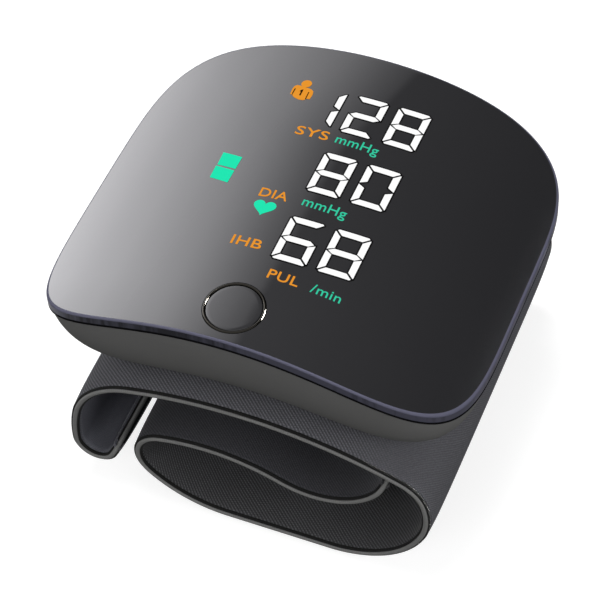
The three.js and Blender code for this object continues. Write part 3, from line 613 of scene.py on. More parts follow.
def pattern(**numbers):
    """Turns a function that builds a pattern into one that adds it to a tree as a node group, made once.
    The group makes a shade and a height of a place and these numbers."""
    def wrap(build):
        name = build.__name__.capitalize()

        def add(tree, place, **values):
            group = bpy.data.node_groups.get(name)
            if group is None:
                group = bpy.data.node_groups.new(name, "ShaderNodeTree")
                sockets = group.interface
                sockets.new_socket(name="Vector", in_out="INPUT", socket_type="NodeSocketVector")
                for key, default in numbers.items():
                    socket = sockets.new_socket(name=key, in_out="INPUT", socket_type="NodeSocketFloat")
                    socket.default_value = default
                for key in ("Shade", "Height"):
                    sockets.new_socket(name=key, in_out="OUTPUT", socket_type="NodeSocketFloat")
                shade, height = build(group, group.nodes.new("NodeGroupInput").outputs)
                feed(group, group.nodes.new("NodeGroupOutput"), {"Shade": shade, "Height": height})
            return make_node(tree, "Group", {"Vector": place, **values}, node_tree=group).outputs

        return functools.wraps(build)(add)
    return wrap


@pattern(Angle=0.8, Pitch=0.7, Contrast=1.0)
def twill(tree, given):
    """Slanting ribs crossed by threads, on a surface measured in mm."""
    do = functools.partial(maths, tree)
    place, pitch = given["Vector"], given["Pitch"]
    inputs = {"Vector": place, "Angle": given["Angle"]}
    x, y, _ = split(tree, make_node(tree, "VectorRotate", inputs, rotation_type="Z_AXIS").outputs[0])
    across = do("MULTIPLY_ADD", noise(tree, place, 0.35, 1.0), 0.25, do("DIVIDE", x, pitch))
    wave = do("SINE", do("MULTIPLY", across, 2 * math.pi))
    rib = do("POWER", do("MULTIPLY_ADD", wave, 0.5, 0.5), 1.3)
    along = do("ADD", do("DIVIDE", y, pitch), do("MULTIPLY", do("FLOOR", across), 0.5))
    thread = do("ABSOLUTE", do("SINE", do("MULTIPLY", along, math.pi)))
    height = do("MULTIPLY", rib, do("MULTIPLY_ADD", thread, 0.75, 0.25))
    swing = do("MULTIPLY", do("SUBTRACT", height, 0.3), given["Contrast"])
    uneven = do("MULTIPLY_ADD", noise(tree, place, 2.6), 0.7, 0.65)
    return do("MULTIPLY", do("ADD", swing, 1.0), uneven), height


@pattern(Scale=5000.0, Unevenness=0.1)
def grain(tree, given):
    """Fine moulded grain with faint broad unevenness."""
    fine, broad = (noise(tree, given["Vector"], *size) for size in ((given["Scale"], 3.0), (60.0, 2.0)))
    centred = maths(tree, "SUBTRACT", maths(tree, "ADD", fine, broad), 1.0)
    return maths(tree, "MULTIPLY_ADD", centred, given["Unevenness"], 1.0), fine


def material(build):
    """Makes a function that adds nodes, and returns what the shader takes, into one that makes its
    material once for each name."""
    @functools.wraps(build)
    def make(name, *values):
        if name not in bpy.data.materials:
            made = bpy.data.materials.new(name)
            made.use_nodes = True
            tree = made.node_tree
            feed(tree, tree.nodes["Principled BSDF"], build(tree, *values))
        return bpy.data.materials[name]
    return make


@material
def moulded(tree, base, roughness, unevenness=0.1, bump=0.06, metallic=0.0, level=0.5):
    """Moulded plastic or plain metal with a fine grain."""
    shade, height = grain(tree, in_space(tree), Unevenness=unevenness)
    return {
        "Base Color": shaded(tree, base, shade), "Normal": bumped(tree, height, bump, 0.05 * MM),
        "Roughness": roughness, "Metallic": metallic, "Specular IOR Level": level,
    }


@material
def glossy(tree, base, roughness=0.03, level=0.5):
    """Polished surface with a faint haze of finger marks."""
    haze = noise(tree, in_space(tree), 90.0, 3.0)
    return {
        "Base Color": (*base, 1), "Roughness": maths(tree, "MULTIPLY_ADD", haze, 0.03, roughness),
        "Specular IOR Level": level,
    }


@material
def lit(tree, base):
    """Lit area of the display."""
    shade = maths(tree, "MULTIPLY_ADD", noise(tree, in_space(tree), 400.0), 0.06, 0.97)
    return {
        "Emission Color": shaded(tree, base, shade), "Emission Strength": 1,
        "Base Color": (0.01, 0.01, 0.01, 1), "Roughness": 0.4, "Specular IOR Level": 0.0,
    }


@material
def painted_edge_streaks(tree, base, dark):
    """Edge of the clear lens: painted streaks of light and dark across the edge, standing in for light
    refracted in the clear plastic.
    """
    flat = scaled(tree, in_space(tree), (1, 1, 0.08))
    broad, fine = noise(tree, flat, 75.0, 1.0), noise(tree, flat, 800.0, 3.0)
    streaks = maths(tree, "MULTIPLY_ADD", broad, 1.6, fine)
    return {
        "Base Color": mixed(tree, ranged(tree, streaks, 1.05, 1.5), (*dark, 1), (*base, 1)),
        "Roughness": 0.3, "Specular IOR Level": 0.03,
    }


@material
def woven(tree, base, ribs, turn_at=None):
    """Twill that follows the strip. Ribs are given by angle, pitch and contrast, and those of the first
    kind give way to the second at a share of the length."""
    cuff = bpy.context.scene.monitor_cuff
    size = scaled(tree, on_strip(tree), (STRIP_LENGTH / MM, cuff.width / MM, 1))
    kinds = [
        twill(tree, size, Angle=degrees * DEGREE, Pitch=cuff.rib_pitch / MM * pitch, Contrast=contrast)
        for degrees, pitch, contrast in ribs
    ]
    shade, height = kinds[0]
    if turn_at:
        change = ranged(tree, split(tree, on_strip(tree))[0], *turn_at)
        shade, height = (between(tree, change, *both) for both in zip(*kinds))
    return {
        "Base Color": shaded(tree, base, shade), "Normal": bumped(tree, height, 0.4, 0.15 * MM),
        "Roughness": 0.95, "Specular IOR Level": 0.0, "Sheen Weight": 0.15,
    }


@material
def tape(tree, base):
    """Edge binding with fine ribs across it: a painted highlight along the piping's crest and painted
    shade on the two lips beside it.
    """
    do = functools.partial(maths, tree)
    run, across, _ = split(tree, on_strip(tree))
    ribs = do("SINE", do("MULTIPLY", run, 2 * math.pi * STRIP_LENGTH / (0.42 * MM)))
    ribs = do("MULTIPLY_ADD", ribs, 0.5, 0.5)
    # Painted light across the binding: lit on the piping's crest, falling off to painted shade in the
    # lips.
    stops = ((0.0, 1.0), (0.36, 0.95), (0.52, 0.5), (0.63, 0.06), (1.0, 0.09))
    light = ramp(tree, across, [(position, (value,) * 3) for position, value in stops])
    shade = do("MULTIPLY", light, do("MULTIPLY_ADD", ribs, 0.12, 0.94))
    return {
        "Base Color": shaded(tree, base, shade), "Normal": bumped(tree, ribs, 0.25, 0.08 * MM),
        "Roughness": 0.8, "Specular IOR Level": 0.02, "Sheen Weight": 0.05,
    }


@material
def hooks(tree, base):
    """Hook side of a hook-and-loop fastener: close rows of tiny hooks."""
    width = bpy.context.scene.monitor_cuff.width
    size = scaled(tree, on_strip(tree), (STRIP_LENGTH / MM / 0.42, width / MM / 0.34, 1))
    cells = make_node(tree, "TexVoronoi", {"Vector": size, "Scale": 1.0, "Randomness": 0.25})
    near = maths(tree, "MULTIPLY_ADD", cells.outputs["Distance"], -0.5, 1.1)
    return {
        "Base Color": shaded(tree, base, near), "Normal": bumped(tree, near, 0.4, 0.2 * MM),
        "Roughness": 0.8, "Specular IOR Level": 0.05,
    }


# Stage


def seen_directly(tree):
    """1 for what the camera sees, also by mirror or through clear material, and 0 for stray light."""
    path = make_node(tree, "LightPath").outputs
    seen = maths(tree, "MAXIMUM", path["Is Camera Ray"], path["Is Glossy Ray"])
    return maths(tree, "MAXIMUM", seen, path["Is Transmission Ray"])


@material
def pale_floor(tree):
    """Floor that looks white and throws little light back at the object."""
    seen = seen_directly(tree)
    return {
        "Base Color": mixed(tree, seen, (0.06, 0.06, 0.06, 1), (0.4, 0.4, 0.4, 1)),
        "Emission Color": (1, 1, 1, 1), "Emission Strength": maths(tree, "MULTIPLY", seen, 0.8),
        "Roughness": 1, "Specular IOR Level": 0,
    }


def board_glow(tree):
    """Light of the studio board by its direction from the object, with the small lamp on it."""
    do = functools.partial(maths, tree)
    direction = make_node(tree, "VectorMath", {0: in_space(tree)}, operation="NORMALIZE").outputs[0]
    x, y, z = split(tree, direction)
    slant = do("MULTIPLY", do("MAXIMUM", do("SUBTRACT", y, 0.65), 0.0), BOARD_SLANT)
    lean = do("SUBTRACT", do("ARCTAN2", x, z), slant)
    top = max(value for _, value in BOARD_LIGHT)
    light = ramp(tree, ranged(tree, lean, -math.pi, math.pi), [
        ((degrees + 180) / 360, (value / top, value / top * 0.992, value / top * 1.025))
        for degrees, value in BOARD_LIGHT
    ])
    fade = do("MINIMUM", do("MAXIMUM", do("MULTIPLY_ADD", y, -2.5, 2.28), 0.2), 1.0)
    aside = do("MULTIPLY", do("GREATER_THAN", lean, SPOT_FROM), do("LESS_THAN", lean, SPOT_TO))
    level = do("LESS_THAN", do("ABSOLUTE", do("SUBTRACT", y, SPOT_MIDDLE)), SPOT_HALF)
    spot = do("MULTIPLY", aside, level)
    return make_node(tree, "Emission", {
        "Color": mixed(tree, spot, light, (1, 1, 1, 1)),
        "Strength": between(tree, spot, do("MULTIPLY", fade, top), SPOT_STRENGTH),
    }).outputs[0]


def studio_board():
    """Studio boards seen only in polished surfaces: a lit one on the left with a sharp edge, a dark one
    beside it and a small lamp low on the right."""
    bpy.ops.mesh.primitive_uv_sphere_add(segments=48, ring_count=24, radius=3)
    board = bpy.context.object
    board.name = "studio_board"
    bpy.ops.object.mode_set(mode="EDIT")
    bpy.ops.mesh.bisect(plane_co=(0, 0.15, 0), plane_no=(0, 1, 0), clear_inner=True)
    face_out(inside=True)
    glow = bpy.data.materials.new("studio board")
    glow.use_nodes = True
    tree = glow.node_tree
    tree.nodes.clear()
    feed(tree, make_node(tree, "OutputMaterial"), {0: board_glow(tree)})
    paint(board, glow)
    for kind in ("camera", "diffuse", "transmission", "volume_scatter", "shadow"):
        setattr(board, f"visible_{kind}", False)


def area_light(name, place, size, power):
    """Soft lamp aimed at the object, not mirrored in it."""
    bpy.ops.object.light_add(type="AREA", location=place)
    lamp = bpy.context.object
    lamp.name = name
    lamp.data.size, lamp.data.energy = size, power
    lamp.rotation_euler = (Vector((0, 0, 0.03)) - Vector(place)).to_track_quat("-Z", "Y").to_euler()
    lamp.visible_glossy = False


class MONITOR_OT_stage(bpy.types.Operator):
    """Places the camera, the lights and the pale floor"""

    bl_idname = "monitor.stage"
    bl_label = "Camera, lights and floor"

    def execute(self, context):
        view = context.scene.monitor_view
        cosine = math.cos(view.elevation)
        back = Vector((
            math.sin(view.azimuth) * cosine, -math.cos(view.azimuth) * cosine, math.sin(view.elevation)
        ))
        right = Vector((0, 0, 1)).cross(back).normalized()
        up = back.cross(right)
        cosine, sine = math.cos(view.roll), math.sin(view.roll)
        right, up = cosine * right + sine * up, cosine * up - sine * right
        apex = Vector((0, 0, lens_high.z))
        place = apex + view.distance * back - view.offset_x * right - view.offset_y * up
        bpy.ops.object.camera_add()
        camera = context.object
        camera.name = "photo_camera"
        camera.matrix_world = Matrix.Translation(place) @ Matrix((right, up, back)).transposed().to_4x4()
        camera.data.lens = view.focal_length
        camera.data.sensor_width = 36
        camera.data.clip_start = 0.01
        context.scene.camera = camera

        context.scene.view_settings.view_transform = "Standard"
        world = context.scene.world or bpy.data.worlds.new("studio")
        context.scene.world = world
        world.use_nodes = True
        tree = world.node_tree
        tree.nodes.clear()
        level = between(tree, seen_directly(tree), 0.14, 1.0)
        sky = make_node(tree, "Background", {"Color": (1, 1, 1, 1), "Strength": level})
        feed(tree, make_node(tree, "OutputWorld"), {0: sky.outputs[0]})

        bpy.ops.mesh.primitive_plane_add(size=8, location=(0, 0, 0))
        floor = context.object
        floor.name = "floor"
        paint(floor, pale_floor("floor"))
        floor.visible_glossy = False  # polished pieces see the studio board below the horizon too
        for lamp in LAMPS:
            area_light(*lamp)
        studio_board()
        return {"FINISHED"}


# Display unit


class MONITOR_OT_lens(bpy.types.Operator):
    """Makes the arched lens with its rounded edge and the hole for the button"""

    bl_idname = "monitor.lens"
    bl_label = "Front lens"

    def execute(self, context):
        settings, finish = context.scene.monitor_unit, context.scene.monitor_finish
        half_x, half_y = lens_high.x, lens_high.y
        thickness, bevel = settings.lens_thickness, settings.lens_bevel
        wall_share = 0.76  # part of the edge that is clear wall, above the foot
        edge = bevel / half_y
        turn = np.sin(np.linspace(0, 90, 6) * DEGREE)
        inner = np.linspace(-1, 1, 97) * (1 - edge)
        line = np.concatenate([edge - 1 - edge * turn[:0:-1], inner, 1 - edge + edge * turn[1:]])
        across, down = np.meshgrid(line, line)
        share = np.maximum(np.abs(across), np.abs(down))
        around = np.arctan2(down * half_y, across * half_x)
        reach = share * rim_reach(around, half_x, half_y)
        x, y = reach * np.cos(around), reach * np.sin(around)
        dip = np.clip((share - 1 + edge) / edge, 0, 1)
        z = lens_top(x, y) - bevel * (1 - np.sqrt(1 - dip ** 2))
        lens = laid_grid("front_lens_polished", np.stack([x, y, z], 2))
        edit(lens, "FACE")
        for share in (wall_share, 1 - wall_share):
            down = (0, 0, -thickness * share)
            bpy.ops.mesh.extrude_region_move(TRANSFORM_OT_translate={"value": down})
        face_out()
        for vertex in lens.data.vertices:
            x, y, z = vertex.co
            depth = (lens_top(x, y) - z) / thickness
            if depth > 0.5:
                vertex.co.z = lens_top(x, y) - thickness * (wall_share if depth < 0.95 else 1)
        hole = settings.ring_radius + settings.gap / 2
        through = (lens_high.z - 10 * MM, lens_high.z + 10 * MM)
        combine(lens, cylinder(settings.button_x, settings.button_y, *through, hole, 96), "DIFFERENCE")
        smooth(lens, 35)
        modify(lens, "WEIGHTED_NORMAL", keep_sharp=True)
        # Painted light round the lens edge: the bevel's lavender is a painted highlight, the wall's
        # streaks are painted light from within the clear plastic, and the near-black foot is painted
        # shade below it.
        dark, wall = (tuple(value * share for value in finish.lens_edge_painted_light) for share in (0.12, 0.6))
        paint(
            lens, glossy("black lens", finish.lens), painted_edge_streaks("painted streaks on lens edge", wall, dark),
            glossy("painted shade lens foot", srgb(20, 20, 22), 0.5, 0.0),
            glossy("painted highlight lens bevel", finish.lens_edge_painted_light, 0.5, 0.0),
        )
        for face in lens.data.polygons:
            x, y, z = face.center
            from_button = math.hypot(x - settings.button_x, y - settings.button_y)
            outside = from_button > settings.ring_radius * 1.2 and face.normal.z > -0.5
            depth = (lens_top(x, y) - z) / thickness
            slope_x = lens_top(x - MM, y) - lens_top(x + MM, y)
            slope_y = lens_top(x, y - MM) - lens_top(x, y + MM)
            if outside and face.normal.angle(Vector((slope_x, slope_y, 2 * MM))) > 3 * DEGREE:
                # Edge faces by depth: painted highlight on the bevel, painted streaks on the wall,
                # painted shade at the foot.
                face.material_index = 3 if depth < 0.15 else 1 if depth < 0.78 else 2
        settle(lens, "monitor", "front_lens", "lens")
        return {"FINISHED"}


def on_lens(piece, high, tint):
    edit(piece, "FACE")
    bpy.ops.mesh.subdivide(number_cuts=2)
    bpy.ops.mesh.quads_convert_to_tris()
    bpy.ops.mesh.select_all(action="SELECT")
    bpy.ops.mesh.extrude_region_move(TRANSFORM_OT_translate={"value": (0, 0, 1)})
    face_out()
    for vertex in piece.data.vertices:
        x, y, z = vertex.co
        vertex.co.z = lens_top(x, y) + (high if z > 0.5 else LIT_FOOT)
    piece.data.update()
    settle(piece, "monitor", None, "lens", tint)


# Matte black for the person sign's printed figure, and for the painted shadow round the numerals'
# strokes.
def black_print_and_painted_shadow():
    return glossy("display black", (0.004, 0.004, 0.004), 0.6, 0.0)


def flat_shapes(name, outlines):
    """Flat filled shapes with these outlines, as one piece at height 0."""
    shapes = []
    for outline in outlines:
        bpy.ops.object.select_all(action="DESELECT")
        bpy.ops.mesh.primitive_circle_add(vertices=len(outline), radius=1, fill_type="NGON")
        shape = bpy.context.object
        for vertex, (x, y) in zip(shape.data.vertices, outline):
            vertex.co = (x, y, 0)
        shapes.append(shape)
    return joined(name, shapes)


def numeral_strokes(width, height, grow):
    """Outlines of the seven strokes, from the numeral's lower left corner, grown by a margin."""
    display = bpy.context.scene.monitor_display
    thick, cut, gap = display.stroke, 0.00035, display.mitre / 2

    def lying(y, sign):
        """Foot or top stroke: its long side is the numeral's outer edge."""
        return [(cut + gap, y), (width - cut - gap, y), (width - cut * 0.4 - gap, y + sign * cut * 0.6),
                (width - thick - gap, y + sign * thick), (thick + gap, y + sign * thick),
                (cut * 0.4 + gap, y + sign * cut * 0.6)]

    def standing(x, sign, y, up):
        """Side stroke between the numeral's middle height and its corner."""
        return [(x, y + up * gap), (x, y + up * (height / 2 - cut - gap)),
                (x + sign * cut * 0.4, y + up * (height / 2 - cut * 0.6 - gap * 2)),
                (x + sign * thick, y + up * (height / 2 - thick - gap * 2)),
                (x + sign * thick, y + up * (thick / 2 + gap * 1.4))]

    level, over, under = height / 2, height / 2 + thick / 2, height / 2 - thick / 2
    middle = [(gap * 2, level), (thick, over), (width - thick, over),
              (width - gap * 2, level), (width - thick, under), (thick, under)]
    strokes = [
        lying(height, -1), standing(0, 1, level, 1), standing(width, -1, level, 1), middle,
        standing(0, 1, level, -1), standing(width, -1, level, -1), lying(0, 1),
    ]
    return [grown(anticlockwise(stroke), grow) for stroke in strokes]


def anticlockwise(outline):
    turning = sum(x0 * y1 - x1 * y0 for (x0, y0), (x1, y1) in zip(outline, outline[1:] + outline[:1]))
    return outline if turning > 0 else outline[::-1]


def grown(outline, margin):
    """An anticlockwise convex outline with every side moved outwards."""
    if not margin:
        return outline
    lines = []
    for (x0, y0), (x1, y1) in zip(outline, outline[1:] + outline[:1]):
        size = math.hypot(x1 - x0, y1 - y0)
        out = ((y1 - y0) / size, (x0 - x1) / size)
        lines.append((out, out[0] * x0 + out[1] * y0 + margin))
    points = []
    for (first, a), (second, b) in zip(lines[-1:] + lines[:-1], lines):
        cross = first[0] * second[1] - first[1] * second[0]
        points.append(((a * second[1] - b * first[1]) / cross, (b * first[0] - a * second[0]) / cross))
    return points


class MONITOR_OT_numerals(bpy.types.Operator):
    """Makes the three rows of lit numerals with a painted shadow line round each stroke"""

    bl_idname = "monitor.numerals"
    bl_label = "Numerals"

    def execute(self, context):
        display = context.scene.monitor_display
        looks = (
            # The outline is a matte black plate: painted shadow round each stroke, hiding the lens's
            # reflection there.
            ("outline", display.outline, LIT_TOP, black_print_and_painted_shadow()),
            ("lit", 0.0, OVER_TOP, lit("lit white", display.white)),
        )
        for row, digits, left, width, pitch, top, foot in NUMERAL_ROWS:
            for look, grow, high, tint in looks:
                strokes = numeral_strokes(width * MM, (top - foot) * MM, grow)
                outlines = []
                for place, digit in enumerate(reversed(digits)):
                    for stroke, on in zip(strokes, LIT_STROKES[digit]):
                        if on == "1":
                            start = (left - place * pitch) * MM
                            across = [(x + start, y + foot * MM) for x, y in stroke]
                            outlines.append([(x, y + display.rise * x * x) for x, y in across])
                on_lens(flat_shapes(f"numerals_{row}_{look}", outlines), high, tint)
        return {"FINISHED"}


class MONITOR_OT_labels(bpy.types.Operator):
    """Makes the lit words beside the numerals"""

    bl_idname = "monitor.labels"
    bl_label = "Labels"

    def execute(self, context):
        display = context.scene.monitor_display
        tints = {"orange": display.orange, "pale teal": display.pale_teal}
        for name, text, left, right, foot, capital, tint in LABELS:
            bpy.ops.object.text_add()
            piece = context.object
            piece.data.body = text
            piece.data.size = 1
            piece.data.space_character = 1.05
            piece.data.resolution_u = 4
            piece.data.offset = 0.006 if tint == "orange" else 0.002
            pick(piece)
            bpy.ops.object.convert(target="MESH")
            piece = context.object
            piece.name = piece.data.name = name
            places = np.array([vertex.co for vertex in piece.data.vertices])
            start = places[:, 0].min()
            wide = (right - left) * MM / (places[:, 0].max() - start)
            tall = capital * MM / places[:, 1].max()
            for vertex in piece.data.vertices:
                x, y, _ = vertex.co
                vertex.co = (left * MM + (x - start) * wide, foot * MM + y * tall, 0)
            edit(piece)
            bpy.ops.mesh.remove_doubles(threshold=1e-6)
            bpy.ops.object.mode_set(mode="OBJECT")
            on_lens(piece, LIT_TOP, lit(f"lit {tint}", tints[tint]))
        return {"FINISHED"}


def oval(x, y, across, down, count=28):
    turns = [2 * math.pi * i / count for i in range(count)]
    return [(x + across * math.cos(turn), y + down * math.sin(turn)) for turn in turns]


def heart(x, y, width, height, count=44):
    points = []
    for i in range(count):
        t = 2 * math.pi * i / count
        up = (13 * math.cos(t) - 5 * math.cos(2 * t) - 2 * math.cos(3 * t) - math.cos(4 * t)) / 17
        points.append((x + math.sin(t) ** 3 * width / 2, y + (up + 0.2) * height / 1.75))
    return points[::-1]


class MONITOR_OT_signs(bpy.types.Operator):
    """Makes the battery, heart and person signs of the display"""

    bl_idname = "monitor.signs"
    bl_label = "Signs"

    def execute(self, context):
        display = context.scene.monitor_display
        teal, orange = lit("lit teal", display.teal), lit("lit orange", display.orange)
        for name, outlines, tint, high in (
            ("battery_sign", BATTERY_SIGN, teal, LIT_TOP),
            ("heart_sign", [heart(-4.78, -6.35, 4.05, 3.5)], teal, LIT_TOP),
            ("person_sign", [oval(-9.35, 24.83, 0.97, 0.93), PERSON_BODY], orange, LIT_TOP),
            ("person_sign_figure", PERSON_FIGURE, black_print_and_painted_shadow(), OVER_TOP),
        ):
            outlines = [[(x * MM, y * MM) for x, y in outline[::-1]] for outline in outlines]
            on_lens(flat_shapes(name, outlines), high, tint)
        return {"FINISHED"}


def turned_ring(name, profile, x, y, sides, edge_angle):
    """A turned piece at a place on the lens, from radii and depths below its top face."""
    turn = np.linspace(0, 2 * math.pi, sides + 1)
    rows = []
    for radius, depth in profile:
        across, down = x + radius * np.cos(turn), y + radius * np.sin(turn)
        rows.append(np.stack([across, down, lens_top(across, down) - depth], 1))
    piece = laid_grid(name, rows)
    close_up(piece, fill=False)
    smooth(piece, edge_angle)
    return piece


class MONITOR_OT_button(bpy.types.Operator):
    """Makes the push button and the thin polished ring round it"""

    bl_idname = "monitor.button"
    bl_label = "Start button and ring"

    def execute(self, context):
        settings, finish = context.scene.monitor_unit, context.scene.monitor_finish
        x, y, radius = settings.button_x, settings.button_y, settings.button_radius
        round_edge, depth = 0.18 * MM, 2.8 * MM
        profile = [(radius * share, 0) for share in (0, 0.3, 0.6, 0.85)]
        profile += [(radius - round_edge * (1 - math.sin(a)), round_edge * (1 - math.cos(a)))
                    for a in np.linspace(0, math.pi / 2, 5)]
        cap = turned_ring("start_button_cap", [*profile, (radius, depth), (0, depth)], x, y, 96, 35)
        settle(cap, "button", "start_button", "lens", glossy("black lens", finish.lens))

        middle, half, foot = settings.ring_radius - 0.17 * MM, 0.22 * MM, settings.lens_thickness
        profile = [(middle - half * math.cos(a), 0.08 * MM - half * math.sin(a))
                   for a in np.linspace(0, math.pi, 13)]
        profile += [(middle + half, foot), (middle - half, foot), profile[0]]
        bezel = turned_ring("button_bezel", profile, x, y, 128, 40)
        metal = moulded("button bezel", finish.ring, 0.1, 0.05, 0.0, 0.9)
        settle(bezel, "monitor", "button_ring", "ring", metal)
        return {"FINISHED"}


def bowl_rows(grow, floor_rise):
    """Rows of the bowl's side from rim to foot and on across its bottom to the middle."""
    settings = unit()
    sweep, steps = settings.bowl_sweep, 22
    rim_top = settings.lens_thickness + settings.gap

    def top(x, y):
        return lens_top(x, y) - rim_top

    def foot(x, y):
        return case_bottom(x, y) + floor_rise

    rows = []
    for i in range(steps + 1):
        fall = math.sin(sweep * i / steps) / math.sin(sweep)
        drawn = (1 - math.cos(sweep * i / steps)) / (1 - math.cos(sweep))
        drawn += settings.bowl_lean * (fall - drawn)
        half_x = lens_high.x - settings.rim_inset - settings.bowl_inset_x * drawn + grow
        half_y = lens_high.y - settings.rim_inset - settings.bowl_inset_y * drawn + grow
        rows.append(ring(
            half_x, half_y, 1, lambda x, y, share=fall: top(x, y) + (foot(x, y) - top(x, y)) * share
        ))
    for share in (0.985, 0.95, 0.85, 0.7, 0.5, 0.3, 0.12, 0):
        rows.append(ring(half_x, half_y, share, foot))
    return rows


def solid_bowl(name, grow):
    """The bowl without its hollow, grown by a margin, for cutting."""
    settings = unit()
    rim = [half - settings.rim_inset + grow for half in (lens_high.x, lens_high.y)]
    lid = [ring(*rim, share, lambda x, y: lens_top(x, y) - settings.lens_thickness - settings.gap)
           for share in (0.6, 0.3, 0)]
    solid = laid_grid(name, bowl_rows(grow, -grow)[::-1] + lid)
    close_up(solid, fill=False)
    return solid


class MONITOR_OT_case(bpy.types.Operator):
    """Makes the bowl-shaped case and its battery door with grip ribs"""

    bl_idname = "monitor.case"
    bl_label = "Case and battery door"

    def execute(self, context):
        settings, finish = context.scene.monitor_unit, context.scene.monitor_finish
        rows = bowl_rows(0, 0)[::-1] + bowl_rows(-settings.wall, settings.floor)
        case = laid_grid("lower_case_moulded", rows)
        close_up(case, fill=False)
        door = copied(case, "battery_door_moulded")
        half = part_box("battery_door")[1].y
        for piece, gap, operation in ((case, settings.gap, "DIFFERENCE"), (door, 0, "INTERSECT")):
            cutter = block("cutter", (-0.08, -half - gap, -0.01), (DOOR_EDGE + gap, half + gap, 0.08))
            combine(piece, cutter, operation)
        half_y, half_z = GRIP_HALF
        for place in (-1, 0, 1):
            z = GRIP_MIDDLE + GRIP_PITCH * place
            grip = solid_bowl("grip", GRIP_RISE)
            bar = block("cutter", (-0.08, -half_y, z - half_z), (DOOR_EDGE, half_y, z + half_z))
            edit(bar, "EDGE")
            bpy.ops.mesh.bevel(offset=0.3 * MM, segments=3, affect="EDGES")
            bpy.ops.object.mode_set(mode="OBJECT")
            combine(grip, bar, "INTERSECT")
            combine(door, grip, "UNION")
        for y in (-TAB_Y, TAB_Y):
            tab = block("tab", (-36 * MM, y - TAB_HALF, 33 * MM), (-31.4 * MM, y + TAB_HALF, 34.4 * MM))
            combine(tab, solid_bowl("tab room", -0.3 * MM), "INTERSECT")
            combine(door, tab, "UNION")
        charcoal = moulded("charcoal case", finish.case, 0.5, 0.12, 0.08, 0.0, 0.0)
        for piece, body, node in ((case, "monitor", "lower_case"), (door, "door", "battery_door")):
            smooth(piece, 28)
            settle(piece, body, node, "casing", charcoal)
        return {"FINISHED"}


# Cuff


def strip_stretches(first=0, last=STRIP_LENGTH):
    """Name, body and ends of the three stretches of a layer of the cuff."""
    above, below = CuffLine.shared().splits()
    return (
        ("upper", "monitor", first, above), ("bend", None, above, below), ("lower", "wrap", below, last)
    )


def sheet_reach():
    """Half the width of the cloth between its two bindings."""
    cuff = bpy.context.scene.monitor_cuff
    return cuff.width / 2 - 2 * cuff.piping + 0.02 * MM


def padded_half(inward):
    """Half the strip's thickness at a distance in from the cloth's edge: full in the middle, thinner
    beside the edge."""
    cuff = bpy.context.scene.monitor_cuff
    return cuff.half_thickness - (cuff.half_thickness - cuff.edge_thickness) * np.exp(-inward / (4 * MM))


def across_strip(inward, count):
    """Places across the strip: at distances in mm from the cloth's edges, and evenly between them."""
    inward, reach = np.array(inward) * MM, sheet_reach()
    middle = np.linspace(-(reach - 11 * MM), reach - 11 * MM, count)
    return np.concatenate([inward - reach, middle, reach - inward[::-1]])


def strip_piece(name, start, end, across, top, bottom):
    """Closed sheet along the strip: places across it, with the offsets of its two faces there."""
    line, cuff = CuffLine.shared(), bpy.context.scene.monitor_cuff
    profile_y = np.concatenate([across, across[::-1], across[:1]])
    profile_offset = np.concatenate([top, bottom[::-1], top[:1]])
    rows, uv = [], []
    for s in line.lengths(start, end):
        rows.append([line.point(s, y, offset) for y, offset in zip(profile_y, profile_offset)])
        uv.append([(s / STRIP_LENGTH, y / cuff.width + 0.5) for y in profile_y])
    piece = laid_grid(name, rows, uv)
    close_up(piece)
    smooth(piece, 40)
    return piece


def sheet_piece(name, start, end, side):
    """Cloth or lining between two lengths, rolled down beside the binding."""
    cuff, reach = bpy.context.scene.monitor_cuff, sheet_reach()
    across = across_strip((0, 0.06, 0.13, 0.22, 0.35, 0.55, 0.85, 1.3, 2.0, 3.0, 4.2, 5.6, 7.2, 9.0), 21)
    inward = reach - np.abs(across)
    top = padded_half(inward) - 0.25 * MM * np.exp(-((inward / (0.16 * MM)) ** 2))
    bottom = np.minimum(top - 0.18 * MM, cuff.half_thickness - cuff.cloth)
    piece = strip_piece(name, start, end, across, side * top, side * bottom)
    return piece


class MONITOR_OT_cuff_cloth(bpy.types.Operator):
    """Makes the cuff's outer cloth and its lining"""

    bl_idname = "monitor.cuff_cloth"
    bl_label = "Cuff cloth and lining"

    def execute(self, context):
        cuff = context.scene.monitor_cuff
        inset = cuff.width / 2 - sheet_reach()
        # Layer, side of the middle line, and the length beyond or before which it has its first look
        faces = (
            ("cloth", 1, 0.68, True,
             woven("cuff twill", cuff.cloth_colour, ((-49, 1.0, 1.1), (41, 0.75, 0.4)), (0.35, 0.39)),
             # The tongue's darker twill is painted shade of the unit above it.
             woven("tongue twill painted shade", cuff.tongue_painted_shade_colour, ((-49, 0.85, 0.6),))),
            ("lining", -1, 0.23, False, woven("cuff lining", cuff.lining_colour, ((49, 1.0, 1.3),)),
             woven("loop lining", cuff.loop_colour, ((-46, 0.8, 0.3),))),
        )
        for stretch, body, start, end in strip_stretches(inset, STRIP_LENGTH - inset):
            for face, side, change, beyond, *looks in faces:
                piece = sheet_piece(f"cuff_{face}_{stretch}_woven", start, end, side)
                paint(piece, *looks)
                uv = piece.data.uv_layers.active.data
                for polygon in piece.data.polygons:
                    polygon.material_index = int((uv[polygon.loop_start].uv.x > change) == beyond)
                settle(piece, body, f"cuff_{face}_{stretch}", face)
        return {"FINISHED"}


